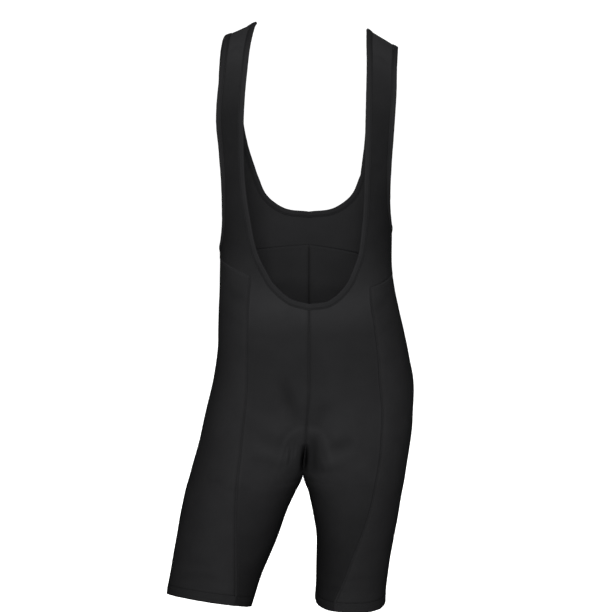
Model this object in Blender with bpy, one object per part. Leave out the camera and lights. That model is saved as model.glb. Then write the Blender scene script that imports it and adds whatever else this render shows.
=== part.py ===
"""Cycling bib shorts, worn and hollow, held up by two shoulder straps.

Frame: metres, +Z up, the front faces -Y, the wearer's right is -X.
Origin: midway between the tops of the two straps.
Each half of the garment is one smooth surface. A point on it is named by (v, height): v runs round the
half from the centre front or the front of the inseam (0), by the side (1), to the centre back or the back
of the inseam (2). Height is the level of its section, and above CHEST the way on over the shoulder.
Every panel is a patch of that surface between seam lines whose points the neighbouring panels share.
"""
import math
from collections import namedtuple

import bpy
import numpy as np

# Cloth and sewing
CLOTH = 0.0015
SEAM_GAP = 0.0003
LAY_GAP = 0.0008
BINDING_WIDTH = 0.008
BINDING_CLOTH = 0.0008
HEM_DEPTH = 0.015
HEM_CLOTH = 0.0022

# Main levels, down from the tops of the straps
CHEST = -0.130
CROTCH = -0.697
HEM = {"right": -0.8950, "left": -0.9025}
SHOULDER_ARC = 0.180
SHOULDER_TOP = CHEST + SHOULDER_ARC

# The strap tops: height at a named distance out, and how steeply the shoulder falls away
Shoulder = namedtuple("Shoulder", "out height fall")
SHOULDERS = {
    "right": Shoulder(0.080, 0.0143, 0.435),
    "left": Shoulder(0.091, 0.0020, 0.605),
}

# Centre seam: how far it wanders across the body
CentreSeam = namedtuple("CentreSeam", "height across")
CENTRE_SEAM = (
    CentreSeam(-0.900, -0.0094),
    CentreSeam(-0.697, -0.0094),
    CentreSeam(-0.640, -0.0062),
    CentreSeam(-0.600, -0.0042),
    CentreSeam(-0.540, 0.0),
    CentreSeam(0.060, 0.0),
)

# Sections of each half. Distances out are from the centre seam: outer is the side, full is where the half
# is deepest, inner the inside of the leg. Front, side and back are places along Y. Roll and pitch tilt a
# section.
Section = namedtuple("Section", "height outer full inner front side back roll pitch power")
SECTIONS = {
    "right": (
        Section(-0.9100, 0.2165, 0.1500, 0.0870, -0.074, -0.021, 0.033, 0.165, -0.165, 2.20),
        Section(-0.8935, 0.2145, 0.1470, 0.0811, -0.076, -0.020, 0.036, 0.160, -0.165, 2.20),
        Section(-0.8510, 0.2076, 0.1370, 0.0666, -0.081, -0.016, 0.050, 0.110, -0.130, 2.15),
        Section(-0.7985, 0.1992, 0.1210, 0.0436, -0.087, -0.010, 0.067, 0.071, -0.075, 2.15),
        Section(-0.7495, 0.1896, 0.1070, 0.0250, -0.093, -0.002, 0.086, 0.050, -0.045, 2.20),
        Section(-0.7200, 0.1840, 0.0990, 0.0105, -0.096, 0.002, 0.098, 0.025, -0.020, 2.20),
        Section(-0.6970, 0.1780, 0.0900, 0.0000, -0.099, 0.005, 0.109, 0.000, 0.000, 2.20),
        Section(-0.6600, 0.1685, 0.0770, 0.0000, -0.103, 0.006, 0.120, 0.000, 0.000, 2.25),
        Section(-0.6070, 0.1600, 0.0620, 0.0000, -0.106, 0.006, 0.127, 0.000, 0.000, 2.30),
        Section(-0.5560, 0.1510, 0.0500, 0.0000, -0.106, 0.006, 0.122, 0.000, 0.000, 2.30),
        Section(-0.5050, 0.1440, 0.0400, 0.0000, -0.103, 0.005, 0.110, 0.000, 0.000, 2.30),
        Section(-0.4540, 0.1410, 0.0300, 0.0000, -0.100, 0.004, 0.097, 0.000, 0.000, 2.30),
        Section(-0.4040, 0.1400, 0.0300, 0.0000, -0.098, 0.003, 0.090, 0.000, 0.000, 2.30),
        Section(-0.3410, 0.1380, 0.0300, 0.0000, -0.100, 0.002, 0.090, 0.000, 0.000, 2.35),
        Section(-0.2700, 0.1470, 0.0300, 0.0000, -0.107, 0.001, 0.097, 0.000, 0.000, 2.35),
        Section(-0.2000, 0.1650, 0.0300, 0.0000, -0.112, 0.000, 0.104, 0.000, 0.000, 2.35),
        Section(-0.1300, 0.1850, 0.0300, 0.0000, -0.113, 0.000, 0.105, 0.000, 0.000, 2.35),
    ),
    "left": (
        Section(-0.9200, 0.1304, 0.0740, 0.0194, -0.044, 0.022, 0.084, -0.030, 0.110, 2.60),
        Section(-0.9025, 0.1304, 0.0740, 0.0190, -0.046, 0.021, 0.086, -0.030, 0.110, 2.60),
        Section(-0.8650, 0.1336, 0.0760, 0.0205, -0.053, 0.018, 0.088, 0.000, 0.095, 2.15),
        Section(-0.8130, 0.1414, 0.0790, 0.0221, -0.065, 0.013, 0.092, 0.000, 0.065, 2.15),
        Section(-0.7610, 0.1502, 0.0810, 0.0157, -0.079, 0.009, 0.098, 0.000, 0.035, 2.20),
        Section(-0.7250, 0.1560, 0.0820, 0.0085, -0.088, 0.007, 0.104, 0.000, 0.015, 2.20),
        Section(-0.6970, 0.1610, 0.0830, 0.0000, -0.095, 0.006, 0.112, 0.000, 0.000, 2.20),
        Section(-0.6580, 0.1645, 0.0760, 0.0000, -0.101, 0.006, 0.121, 0.000, 0.000, 2.25),
        Section(-0.6070, 0.1675, 0.0640, 0.0000, -0.106, 0.006, 0.127, 0.000, 0.000, 2.30),
        Section(-0.5560, 0.1645, 0.0520, 0.0000, -0.106, 0.006, 0.122, 0.000, 0.000, 2.30),
        Section(-0.5050, 0.1560, 0.0400, 0.0000, -0.103, 0.005, 0.110, 0.000, 0.000, 2.30),
        Section(-0.4540, 0.1450, 0.0300, 0.0000, -0.100, 0.004, 0.097, 0.000, 0.000, 2.30),
        Section(-0.4040, 0.1340, 0.0300, 0.0000, -0.098, 0.003, 0.090, 0.000, 0.000, 2.30),
        Section(-0.3410, 0.1278, 0.0300, 0.0000, -0.100, 0.002, 0.090, 0.000, 0.000, 2.35),
        Section(-0.2700, 0.1315, 0.0300, 0.0000, -0.107, 0.001, 0.097, 0.000, 0.000, 2.35),
        Section(-0.2000, 0.1520, 0.0300, 0.0000, -0.112, 0.000, 0.104, 0.000, 0.000, 2.35),
        Section(-0.1300, 0.1780, 0.0300, 0.0000, -0.113, 0.000, 0.105, 0.000, 0.000, 2.35),
    ),
}

# Front and back rise: the centre seam leaves the full depth at start and curves under to the crotch
Rise = namedtuple("Rise", "start power")
FRONT_RISE = Rise(-0.520, 2.4)
BACK_RISE = Rise(-0.470, 2.1)
VALLEY_POWER = 0.35
BELOW_CROTCH = 0.006

# Seam and edge lines. Out is the distance from the centre seam, SIDE the garment's own side.
Knot = namedtuple("Knot", "out height")
SIDE = 1.0
FRONT_SEAM = {
    "right": (Knot(0.1043, -0.880), Knot(0.1041, -0.826), Knot(0.1039, -0.747), Knot(0.1010, -0.680),
              Knot(0.0988, -0.633), Knot(0.0972, -0.595), Knot(0.0960, -0.540), Knot(0.0952, -0.454),
              Knot(0.0935, -0.414), Knot(0.0910, -0.3702)),
    "left": (Knot(0.0500, -0.885), Knot(0.0656, -0.847), Knot(0.0780, -0.811), Knot(0.0920, -0.774),
             Knot(0.1074, -0.722), Knot(0.1150, -0.675), Knot(0.1172, -0.634), Knot(0.1168, -0.591),
             Knot(0.1100, -0.540), Knot(0.1070, -0.497), Knot(0.1012, -0.446), Knot(0.0955, -0.410),
             Knot(0.0945, -0.3884)),
}
BACK_SEAM = {
    "right": (Knot(0.1240, -0.880), Knot(0.1180, -0.800), Knot(0.1060, -0.700), Knot(0.0980, -0.600),
              Knot(0.0900, -0.480), Knot(0.0840, -0.352)),
    "left": (Knot(0.0880, -0.885), Knot(0.1000, -0.800), Knot(0.1060, -0.700), Knot(0.1020, -0.600),
             Knot(0.0920, -0.480), Knot(0.0840, -0.360)),
}
# The front waist seam's height at the garment's side, and how far it bows up between its ends.
WAIST_SIDE = {"right": -0.3520, "left": -0.3750}
WAIST_BOW = {"right": 0.0048, "left": 0.0010}
WAIST_BACK = -0.345
ARMHOLE_LOW = {"right": -0.335, "left": -0.305}
NECK_LOW = {
    "right": (Knot(0.0, -0.4112), Knot(0.0280, -0.4032), Knot(0.0455, -0.3895), Knot(0.0580, -0.3757),
              Knot(0.0660, -0.3620)),
    "left": (Knot(0.0, -0.4112), Knot(0.0300, -0.4062), Knot(0.0510, -0.3895), Knot(0.0611, -0.3757),
             Knot(0.0672, -0.3620)),
}
NECK_HIGH = {
    "right": (Knot(0.0660, -0.3620), Knot(0.0780, -0.3380), Knot(0.0856, -0.3120), Knot(0.0910, -0.2840),
              Knot(0.0975, -0.2400), Knot(0.1008, -0.1800), Knot(0.1010, -0.1300), Knot(0.0990, -0.0950),
              Knot(0.0945, -0.0500), Knot(0.0885, 0.0000), Knot(0.0820, 0.0500)),
    "left": (Knot(0.0672, -0.3620), Knot(0.0763, -0.3380), Knot(0.0808, -0.3120), Knot(0.0833, -0.2840),
             Knot(0.0856, -0.2400), Knot(0.0866, -0.1800), Knot(0.0872, -0.1300), Knot(0.0880, -0.0950),
             Knot(0.0892, -0.0500), Knot(0.0895, 0.0000), Knot(0.0900, 0.0500)),
}
ARM_FRONT = {
    "right": (Knot(SIDE, -0.3350), Knot(0.1345, -0.3120), Knot(0.1330, -0.2800), Knot(0.1330, -0.2300),
              Knot(0.1370, -0.1750), Knot(0.1404, -0.1300), Knot(0.1390, -0.0980), Knot(0.1348, -0.0550),
              Knot(0.1302, 0.0000), Knot(0.1265, 0.0500)),
    "left": (Knot(SIDE, -0.3050), Knot(0.1258, -0.2880), Knot(0.1235, -0.2550), Knot(0.1240, -0.2200),
             Knot(0.1265, -0.1680), Knot(0.1290, -0.1300), Knot(0.1312, -0.0950), Knot(0.1325, -0.0550),
             Knot(0.1345, 0.0000), Knot(0.1362, 0.0500)),
}
NECK_BACK_LOW = (Knot(0.0, -0.2950), Knot(0.0400, -0.2890), Knot(0.0680, -0.2680), Knot(0.0830, -0.2350))
NECK_BACK_HIGH = {
    "right": (Knot(0.0830, -0.2350), Knot(0.0985, -0.1850), Knot(0.1065, -0.1300), Knot(0.1055, -0.0700),
              Knot(0.0960, 0.0000), Knot(0.0820, 0.0500)),
    "left": (Knot(0.0830, -0.2350), Knot(0.0890, -0.1850), Knot(0.0920, -0.1300), Knot(0.0930, -0.0700),
             Knot(0.0920, 0.0000), Knot(0.0900, 0.0500)),
}
ARM_BACK = {
    "right": (Knot(SIDE, -0.3350), Knot(0.1330, -0.3120), Knot(0.1300, -0.2750), Knot(0.1310, -0.2300),
              Knot(0.1360, -0.1800), Knot(0.1405, -0.1300), Knot(0.1395, -0.0700), Knot(0.1335, 0.0000),
              Knot(0.1265, 0.0500)),
    "left": (Knot(SIDE, -0.3050), Knot(0.1250, -0.2880), Knot(0.1215, -0.2550), Knot(0.1220, -0.2200),
             Knot(0.1260, -0.1800), Knot(0.1295, -0.1300), Knot(0.1325, -0.0700), Knot(0.1350, 0.0000),
             Knot(0.1362, 0.0500)),
}

# How many steps each stretch is cut into
LEG_STEPS = 8
RISE_STEPS = 15
FRONT_STEPS = 7
CORNER_STEPS = 2
SLANT_STEPS = 3
SIDE_SEAM_STEPS = 2
NECK_RISE_STEPS = 2
STRAP_STEPS = 20
OVER_STEPS = 2
BACK_WAIST_STEPS = 5
SEAT_STEPS = 8
BACK_ARM_STEPS = 8
BACK_STRAP_STEPS = 12
CROTCH_CROWDING = 1.35
RISE_CROWDING = 1.15

# Where the lines down a strap, and those behind the side, cut a row: closer together beside a bound edge
STRAP_SHARES = (0.0, 0.13, 0.37, 0.63, 0.87, 1.0)
FRONT_WAIST_SHARES = (0.0, 0.38, 0.75, 1.0)
SIDE_WAIST_SHARES = (0.0, 0.10, 0.31, 0.54, 0.77, 1.0)

# Seat pad, each row a line across it: where its middle lies, its half width and how far its line turns
# down the inside of the leg. It lies inside the panels and is thinner at its rim.
PAD_THICK = 0.006
PAD_RIM = 0.0025
PAD_END_TAPER = 0.35
PAD_BRIDGE = 0.002
PAD_RIDGE = 0.004
PAD_LAY = 0.0010
PAD_COLUMNS = 5
PadRow = namedtuple("PadRow", "face height reach turn")
PAD_ROWS = (
    PadRow("front", -0.6060, 0.012, 0), PadRow("front", -0.6130, 0.024, 0),
    PadRow("front", -0.6240, 0.031, 3), PadRow("front", -0.6380, 0.036, 9),
    PadRow("front", -0.6530, 0.040, 18), PadRow("front", -0.6670, 0.043, 31),
    PadRow("front", -0.6780, 0.045, 45), PadRow("front", -0.6870, 0.046, 60),
    PadRow("front", -0.6930, 0.047, 73), PadRow("front", -0.6962, 0.047, 84),
    PadRow("front", CROTCH, 0.047, 90),
    PadRow("back", -0.6955, 0.048, 84), PadRow("back", -0.6910, 0.049, 73),
    PadRow("back", -0.6830, 0.051, 58), PadRow("back", -0.6710, 0.053, 43),
    PadRow("back", -0.6560, 0.056, 29), PadRow("back", -0.6380, 0.059, 18),
    PadRow("back", -0.6180, 0.061, 9), PadRow("back", -0.5970, 0.059, 3),
    PadRow("back", -0.5780, 0.050, 0), PadRow("back", -0.5640, 0.036, 0),
    PadRow("back", -0.5560, 0.018, 0),
)

# Finishes
Finish = namedtuple("Finish", "colour roughness")
BLACK_KNIT = Finish((0.0105, 0.0105, 0.0109), 0.62)
BLACK_TRIM = Finish((0.0085, 0.0085, 0.0089), 0.58)
PAD_FOAM = Finish((0.0220, 0.0220, 0.0235), 0.90)

STEP = 1e-4
LOOP = 2 + 1e-9
SAME = 1e-5
FINE_STEPS = 2001
SIGN = {"right": -1.0, "left": 1.0}


def blend(knots, values, at):
    """Smooth curve through the knots: cubic stretches, level where the values turn back or stay."""
    knots, values = np.asarray(knots, float), np.asarray(values, float)
    at = np.clip(at, knots[0], knots[-1])
    chords = np.diff(values) / np.diff(knots)
    slopes = np.gradient(values, knots)
    limit = np.where(chords[1:] * chords[:-1] > 0, 3 * np.minimum(abs(chords[1:]), abs(chords[:-1])), 0)
    slopes[1:-1] = np.clip(slopes[1:-1], -limit, limit)
    i = np.clip(np.searchsorted(knots, at, side="right") - 1, 0, len(knots) - 2)
    span = knots[i + 1] - knots[i]
    t = (at - knots[i]) / span
    rise = 3 * t ** 2 - 2 * t ** 3
    start = (t ** 3 - 2 * t ** 2 + t) * span * slopes[i]
    end = (t ** 3 - t ** 2) * span * slopes[i + 1]
    return values[i] * (1 - rise) + values[i + 1] * rise + start + end


def section(side, height):
    """The half's section at a height, each column blended down the table."""
    rows = SECTIONS[side]
    heights = [row.height for row in rows]
    columns = (blend(heights, [getattr(row, name) for row in rows], height) for name in Section._fields[1:])
    return Section(height, *columns)


def rise_share(rise, height):
    """How much of the full depth the centre seam still has: 1 above the rise, 0 at the crotch."""
    down = np.clip((rise.start - height) / (rise.start - CROTCH), 0.0, 1.0)
    return (1 - down ** rise.power) ** (1 / rise.power)


def gather(height):
    """Power that spreads the points round a half: 1 on the trunk, 2 round a leg."""
    return 1 + np.clip((FRONT_RISE.start - height) / (FRONT_RISE.start - CROTCH), 0.0, 1.0) ** 2


def surface(side, v, height, gap=SEAM_GAP / 2):
    """Points of the outer face of the cloth.

    Round a section, the distance out goes as a power of the sine of v, and the depth follows a superellipse
    from the fullest place to the side. Inwards of the fullest place the depth falls to that of the centre
    seam, in a valley that is rounder the nearer it is to the crotch, or to nothing round the inside of a leg.
    Above the chest the section shrinks and rises on a quarter of an ellipse, up to the slope of the shoulder.
    """
    v, height = np.broadcast_arrays(np.asarray(v, float), np.asarray(height, float))
    level = np.minimum(height, CHEST)
    cut = section(side, level)
    at_front = v <= 1
    round_half = np.where(at_front, v, 2 - v)
    out = cut.inner + (cut.outer - cut.inner) * np.sin(round_half * math.pi / 2) ** gather(level)
    beyond = np.clip((out - cut.full) / (cut.outer - cut.full), 0.0, 1.0)
    within = np.clip((cut.full - out) / (cut.full - cut.inner), 0.0, 1.0)
    side_share = (1 - beyond ** cut.power) ** (1 / cut.power)
    centre = np.where(at_front, rise_share(FRONT_RISE, level), rise_share(BACK_RISE, level))
    fall = 1 - within ** cut.power
    rounding = 1 + (cut.power - 1) * (1 - centre) ** VALLEY_POWER
    inner_share = np.sqrt(centre ** 2 + (1 - centre ** 2) * fall ** (2 / rounding))
    share = np.where(out > cut.full, side_share, inner_share)
    y = cut.side + (np.where(at_front, cut.front, cut.back) - cut.side) * share
    z = level + cut.roll * (out - (cut.outer + cut.inner) / 2) + cut.pitch * (y - cut.side)
    over = np.clip((height - CHEST) / SHOULDER_ARC, 0.0, 1.0) * math.pi / 2
    top = SHOULDERS[side].height - SHOULDERS[side].fall * (out - SHOULDERS[side].out)
    y = cut.side + (y - cut.side) * np.cos(over)
    z = z + (top - CHEST) * np.sin(over)
    across = blend([k.height for k in CENTRE_SEAM], [k.across for k in CENTRE_SEAM], level)
    return np.stack([across + SIGN[side] * (gap + out), y, z], axis=-1)


def slopes(side, v, height):
    """The surface's two slopes, for each unit of v and of height. Round a leg, v runs on past the inseam."""
    v, height = np.broadcast_arrays(np.asarray(v, float), np.asarray(height, float))
    on_leg = height <= CROTCH
    ahead = np.where(on_leg, v + STEP, np.minimum(v + STEP, 2))
    behind = np.where(on_leg, v - STEP, np.maximum(v - STEP, 0))
    along_v = surface(side, ahead % LOOP, height) - surface(side, behind % LOOP, height)
    along_height = surface(side, v, height + STEP) - surface(side, v, height - STEP)
    return along_v / (ahead - behind)[..., None], along_height / (2 * STEP)


def unit(vectors):
    return vectors / np.linalg.norm(vectors, axis=-1, keepdims=True)


def outward(side, v, height):
    """Unit normals that point out of the garment. At the crotch they are those just below it."""
    v, height = np.broadcast_arrays(np.asarray(v, float), np.asarray(height, float))
    at_crotch = (abs(height - CROTCH) < SAME) & (np.minimum(v, 2 - v) < SAME)
    along_v, along_height = slopes(side, v, np.where(at_crotch, CROTCH - BELOW_CROTCH, height))
    return unit(SIGN[side] * np.cross(along_v, along_height))


def v_at(side, out, height, face):
    """The v of points at a distance out from the centre seam, on the front or the back."""
    cut = section(side, np.minimum(height, CHEST))
    share = np.clip((out - cut.inner) / (cut.outer - cut.inner), 0.0, 1.0)
    v = np.arcsin(share ** (1 / gather(cut.height))) * 2 / math.pi
    return v if face == "front" else 2 - v


def run_along(side, out, height, face):
    """The places of a line's points, with the length run up to each."""
    places = np.stack([v_at(side, out, height, face), height], axis=-1)
    steps = np.linalg.norm(np.diff(surface(side, *places.T), axis=0), axis=1)
    return places, np.concatenate([[0], np.cumsum(steps)])


def line(side, knots, steps, face, crowding=1.0):
    """A smooth line through the knots, cut into even steps, or into ones that start shorter.

    Gives rows of (v, height).
    """
    height = np.array([knot.height for knot in knots])
    outer = section(side, np.minimum(height, CHEST)).outer
    out = np.minimum([knot.out for knot in knots], outer)
    run = run_along(side, out, height, face)[1]
    fine = np.linspace(0, run[-1], FINE_STEPS)
    places, run = run_along(side, blend(run, out, fine), blend(run, height, fine), face)
    at = run[-1] * np.linspace(0, 1, steps + 1) ** crowding
    return np.stack([np.interp(at, run, places[:, k]) for k in (0, 1)], axis=-1)


def join(*lines):
    """Lines end to end, each joint's point once."""
    return np.concatenate([lines[0]] + [part[1:] for part in lines[1:]])


def patch(bottom, top, start, end, shares=None):
    """A four-sided patch of (v, height) between its edges: ruled both ways, less what is counted twice."""
    a = (np.linspace(0, 1, len(bottom)) if shares is None else np.array(shares))[None, :, None]
    b = np.linspace(0, 1, len(start))[:, None, None]
    across = (1 - b) * bottom[None] + b * top[None]
    along = (1 - a) * start[:, None] + a * end[:, None]
    corners = ((1 - a) * (1 - b) * bottom[0] + a * (1 - b) * bottom[-1]
               + (1 - a) * b * top[0] + a * b * top[-1])
    return across + along - corners


def straight(first, last, steps):
    """Evenly spaced (v, height) from one place to another."""
    return np.linspace(first, last, steps + 1)


def shared_out(first, last, shares):
    """The (v, height) at given shares of the way from one place to another."""
    return np.asarray(first) + np.outer(shares, np.asarray(last) - np.asarray(first))


def leg_levels(side):
    """Levels down a leg panel from its hem band up, closer together towards the crotch."""
    return CROTCH + (HEM[side] + HEM_DEPTH - CROTCH) * np.linspace(1, 0, LEG_STEPS + 1) ** CROTCH_CROWDING


def seam_lines(side):
    """Every seam and edge of one half, as lines of (v, height) that its panels share."""
    lines = {}
    for name, knots, face in (("front seam", FRONT_SEAM, "front"), ("back seam", BACK_SEAM, "back")):
        whole = line(side, knots[side], FINE_STEPS, face)
        heights = leg_levels(side)
        v = np.interp(heights, whole[:, 1], whole[:, 0])
        lines[name + ", leg"] = np.stack([v, heights], axis=-1)
        heights = np.linspace(CROTCH, whole[-1, 1], RISE_STEPS + 1)
        v = np.interp(heights, whole[:, 1], whole[:, 0])
        lines[name + ", trunk"] = np.stack([v, heights], axis=-1)
    leg_heights = leg_levels(side)
    lines["front inseam"] = np.stack([0 * leg_heights, leg_heights], axis=-1)
    lines["back inseam"] = np.stack([0 * leg_heights + 2, leg_heights], axis=-1)
    climb = np.linspace(0, 1, RISE_STEPS + 1) ** 3
    tops = (("centre front", NECK_LOW[side][0].height, "front"), ("centre back", WAIST_BACK, "back"))
    for name, top, face in tops:
        knots = [Knot(0.0, CROTCH + (top - CROTCH) * share) for share in climb]
        lines[name] = line(side, knots, RISE_STEPS, face, RISE_CROWDING)
    corner = lines["front seam, trunk"][-1]
    back_corner = lines["back seam, trunk"][-1]
    waist = np.array([1.0, WAIST_SIDE[side]])
    arm = np.array([1.0, ARMHOLE_LOW[side]])
    lines["neck, low"] = line(side, NECK_LOW[side], FRONT_STEPS, "front")
    lines["neck, high"] = line(side, NECK_HIGH[side], NECK_RISE_STEPS + STRAP_STEPS, "front")
    lines["corner"] = straight(lines["neck, low"][-1], corner, CORNER_STEPS)
    shares = np.array(FRONT_WAIST_SHARES)
    lines["front waist"] = shared_out(corner, waist, shares)
    lines["front waist"][:, 1] += WAIST_BOW[side] * 4 * shares * (1 - shares)
    lines["side seam"] = straight(waist, arm, SIDE_SEAM_STEPS)
    lines["armhole, front"] = line(side, ARM_FRONT[side], STRAP_STEPS, "front")
    lines["side waist"] = shared_out(waist, back_corner, SIDE_WAIST_SHARES)
    lines["seat waist"] = straight(back_corner, (2.0, WAIST_BACK), SEAT_STEPS)
    lines["neck back, low"] = line(side, NECK_BACK_LOW, SEAT_STEPS, "back")
    lines["neck back, high"] = line(side, NECK_BACK_HIGH[side], BACK_STRAP_STEPS, "back")
    lines["armhole, back"] = line(side, ARM_BACK[side], BACK_ARM_STEPS + BACK_STRAP_STEPS, "back")
    return lines


def split(quads, points, out):
    """Each quad as two triangles, along the diagonal that stands further out, so that pieces that lie on
    each other fold alike."""
    quads = np.asarray(quads)
    a, b, c, d = (points[quads[:, k]] for k in range(4))
    ahead = np.sum((a + c - b - d) * out[quads].mean(axis=1), axis=1) > 0
    turned = np.where(ahead[:, None], quads, np.roll(quads, -1, axis=1))
    return np.concatenate([turned[:, [0, 1, 2]], turned[:, [0, 2, 3]]]).tolist()


def shell(outer, inner, quads):
    """A closed wall between two matching sheets of points. Gives its points and its faces."""
    count = len(outer)
    a, b, c, d = (outer[quads[0][k]] for k in range(4))
    facing = np.dot(np.cross(c - a, d - b), outer[quads[0][0]] - inner[quads[0][0]])
    if facing < 0:
        quads = [quad[::-1] for quad in quads]
    edges = {(quad[k], quad[(k + 1) % 4]) for quad in quads for k in range(4)}
    rim = [(a, b) for a, b in edges if (b, a) not in edges]
    faces = split(quads, outer, outer - inner)
    faces += [[count + k for k in reversed(face)] for face in faces]
    faces += [(b, a, count + a, count + b) for a, b in sorted(rim)]
    return np.concatenate([outer, inner]), faces


def find(points, point):
    """The index of the point that lies here already, or None."""
    if not points:
        return None
    gaps = np.linalg.norm(np.array(points) - point, axis=1)
    nearest = int(np.argmin(gaps))
    return nearest if gaps[nearest] < SAME else None


def cloth(patches, seams, thickness, gap=SEAM_GAP / 2):
    """A panel's wall. Its patches share their edge points; its seam edges draw back by half the seam gap."""
    points, normals, quads = [], [], []
    for side, grid in patches:
        solid = surface(side, grid[..., 0], grid[..., 1], gap)
        normal = outward(side, grid[..., 0], grid[..., 1])
        index = np.empty(grid.shape[:2], int)
        for place in np.ndindex(index.shape):
            known = find(points, solid[place])
            if known is None:
                known = len(points)
                points.append(solid[place])
                normals.append(normal[place])
            index[place] = known
        corners = np.stack([index[:-1, :-1], index[:-1, 1:], index[1:, 1:], index[1:, :-1]], axis=-1)
        if SIGN[side] < 0:
            corners = corners[..., ::-1]
        quads += corners.reshape(-1, 4).tolist()
    on_seam = set()
    for side, stretch in seams:
        names = [find(points, point) for point in surface(side, stretch[:, 0], stretch[:, 1], gap)]
        on_seam |= set(zip(names, names[1:])) | set(zip(names[1:], names))
    points, normals = np.array(points), np.array(normals)
    drawn = draw_back(points, normals, quads, on_seam)
    return shell(drawn, drawn - thickness * normals, quads)


def draw_back(points, normals, quads, on_seam):
    """Moves the points of the seam edges into their panel, square to each edge, mitred at corners."""
    edges = {(quad[k], quad[(k + 1) % 4]) for quad in quads for k in range(4)}
    inward = {}
    for a, b in sorted(edges):
        if (b, a) not in edges and (a, b) in on_seam:
            for end in (a, b):
                inward.setdefault(end, []).append(unit(np.cross(normals[end], points[b] - points[a])))
    drawn = points.copy()
    for end, ways in inward.items():
        total = sum(ways)
        mitre = total / (1 + np.dot(ways[0], ways[1])) if len(ways) == 2 else total
        drawn[end] += SEAM_GAP / 2 * mitre
    return drawn


def step_in(side, v, height, way, distance):
    """The place on the surface at a distance from a point, in a direction along the cloth."""
    along_v, along_height = slopes(side, v, height)
    share = np.linalg.lstsq(np.stack([along_v, along_height], axis=1), way * distance, rcond=None)[0]
    return np.clip(v + share[0], 0, 2), min(height + share[1], SHOULDER_TOP)


def binding(stretches, facing):
    """A strip folded round an edge: an outer and an inner leaf on the panel's faces, joined past its edge."""
    stations = [(side, v, height) for side, stretch in stretches for v, height in stretch]
    edge = np.array([surface(side, v, height, 0) for side, v, height in stations])
    fresh = [k for k in range(len(edge)) if np.linalg.norm(edge[k] - edge[k - 1]) > 1e-5]
    stations, edge = [stations[k] for k in fresh], edge[fresh]
    normal = np.array([outward(side, v, height) for side, v, height in stations])
    along = unit(np.roll(edge, -1, axis=0) - np.roll(edge, 1, axis=0))
    inward = facing * unit(np.cross(normal, along))
    places = [step_in(*station, way, BINDING_WIDTH) for station, way in zip(stations, inward)]
    deep = np.array([surface(station[0], *place, 0) for station, place in zip(stations, places)])
    deep_normal = np.array([outward(station[0], *place) for station, place in zip(stations, places)])
    far = LAY_GAP + BINDING_CLOTH
    bevel = far * 0.6
    profile = (
        (deep, deep_normal, 0, far), (edge, normal, -LAY_GAP, far), (edge, normal, -far, far - bevel),
        (edge, normal, -far, bevel - far - CLOTH), (edge, normal, -LAY_GAP, -CLOTH - far),
        (deep, deep_normal, 0, -CLOTH - far), (deep, deep_normal, 0, -CLOTH - LAY_GAP),
        (edge, normal, -LAY_GAP, -CLOTH - LAY_GAP), (edge, normal, -LAY_GAP, LAY_GAP),
        (deep, deep_normal, 0, LAY_GAP),
    )
    rings = np.stack([base + inward * past + lift * up for base, up, past, lift in profile], axis=1)
    count, sides = rings.shape[:2]
    corner = np.arange(count * sides).reshape(count, sides)
    nxt = np.roll(corner, -1, axis=0)
    quads = np.stack([corner, np.roll(corner, -1, axis=1), np.roll(nxt, -1, axis=1), nxt], axis=-1)
    if facing < 0:
        quads = quads[..., ::-1]
    out = np.repeat(normal[:, None], sides, axis=1)
    points = rings.reshape(-1, 3)
    return points, split(quads.reshape(-1, 4), points, out.reshape(-1, 3))


def front_panel(side):
    """Leg front, lower front and strap in one cut, over the shoulder as far as the shoulder seam."""
    lines = seam_lines(side)
    crotch = straight((0, CROTCH), lines["front seam, trunk"][0], FRONT_STEPS + CORNER_STEPS)
    band = straight(lines["front inseam"][0], lines["front seam, leg"][0], FRONT_STEPS + CORNER_STEPS)
    neck, arm = lines["neck, high"], lines["armhole, front"]
    top = join(lines["neck, low"], lines["corner"])
    under_arm = shared_out(neck[NECK_RISE_STEPS], arm[0], STRAP_SHARES)
    shoulder = shared_out(neck[-1], arm[-1], STRAP_SHARES)
    neck_over = lines["neck back, high"][::-1][:OVER_STEPS + 1]
    arm_over = lines["armhole, back"][::-1][:OVER_STEPS + 1]
    behind = shared_out(neck_over[0], arm_over[0], STRAP_SHARES)
    seam = shared_out(neck_over[-1], arm_over[-1], STRAP_SHARES)
    grids = [
        patch(band, crotch, lines["front inseam"], lines["front seam, leg"]),
        patch(crotch, top, lines["centre front"], lines["front seam, trunk"]),
        patch(join(lines["corner"], lines["front waist"]), under_arm, neck[:NECK_RISE_STEPS + 1],
              lines["side seam"]),
        patch(under_arm, shoulder, neck[NECK_RISE_STEPS:], arm, STRAP_SHARES),
        patch(behind, seam, neck_over, arm_over, STRAP_SHARES),
    ]
    seams = [band, lines["front inseam"], lines["front seam, leg"], lines["front seam, trunk"],
             lines["front waist"], lines["side seam"], seam]
    return cloth([(side, grid) for grid in grids], [(side, stretch) for stretch in seams], CLOTH)


def side_panel(side):
    """The panel round the outside of the leg and hip, up to the slanting waist seam."""
    lines = seam_lines(side)
    steps = SLANT_STEPS + BACK_WAIST_STEPS
    band = straight(lines["front seam, leg"][0], lines["back seam, leg"][0], steps)
    crotch = straight(lines["front seam, leg"][-1], lines["back seam, leg"][-1], steps)
    waist = join(lines["front waist"], lines["side waist"])
    grids = [
        patch(band, crotch, lines["front seam, leg"], lines["back seam, leg"]),
        patch(crotch, waist, lines["front seam, trunk"], lines["back seam, trunk"]),
    ]
    seams = [band, waist, lines["front seam, leg"], lines["front seam, trunk"], lines["back seam, leg"],
             lines["back seam, trunk"]]
    return cloth([(side, grid) for grid in grids], [(side, stretch) for stretch in seams], CLOTH)


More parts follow.
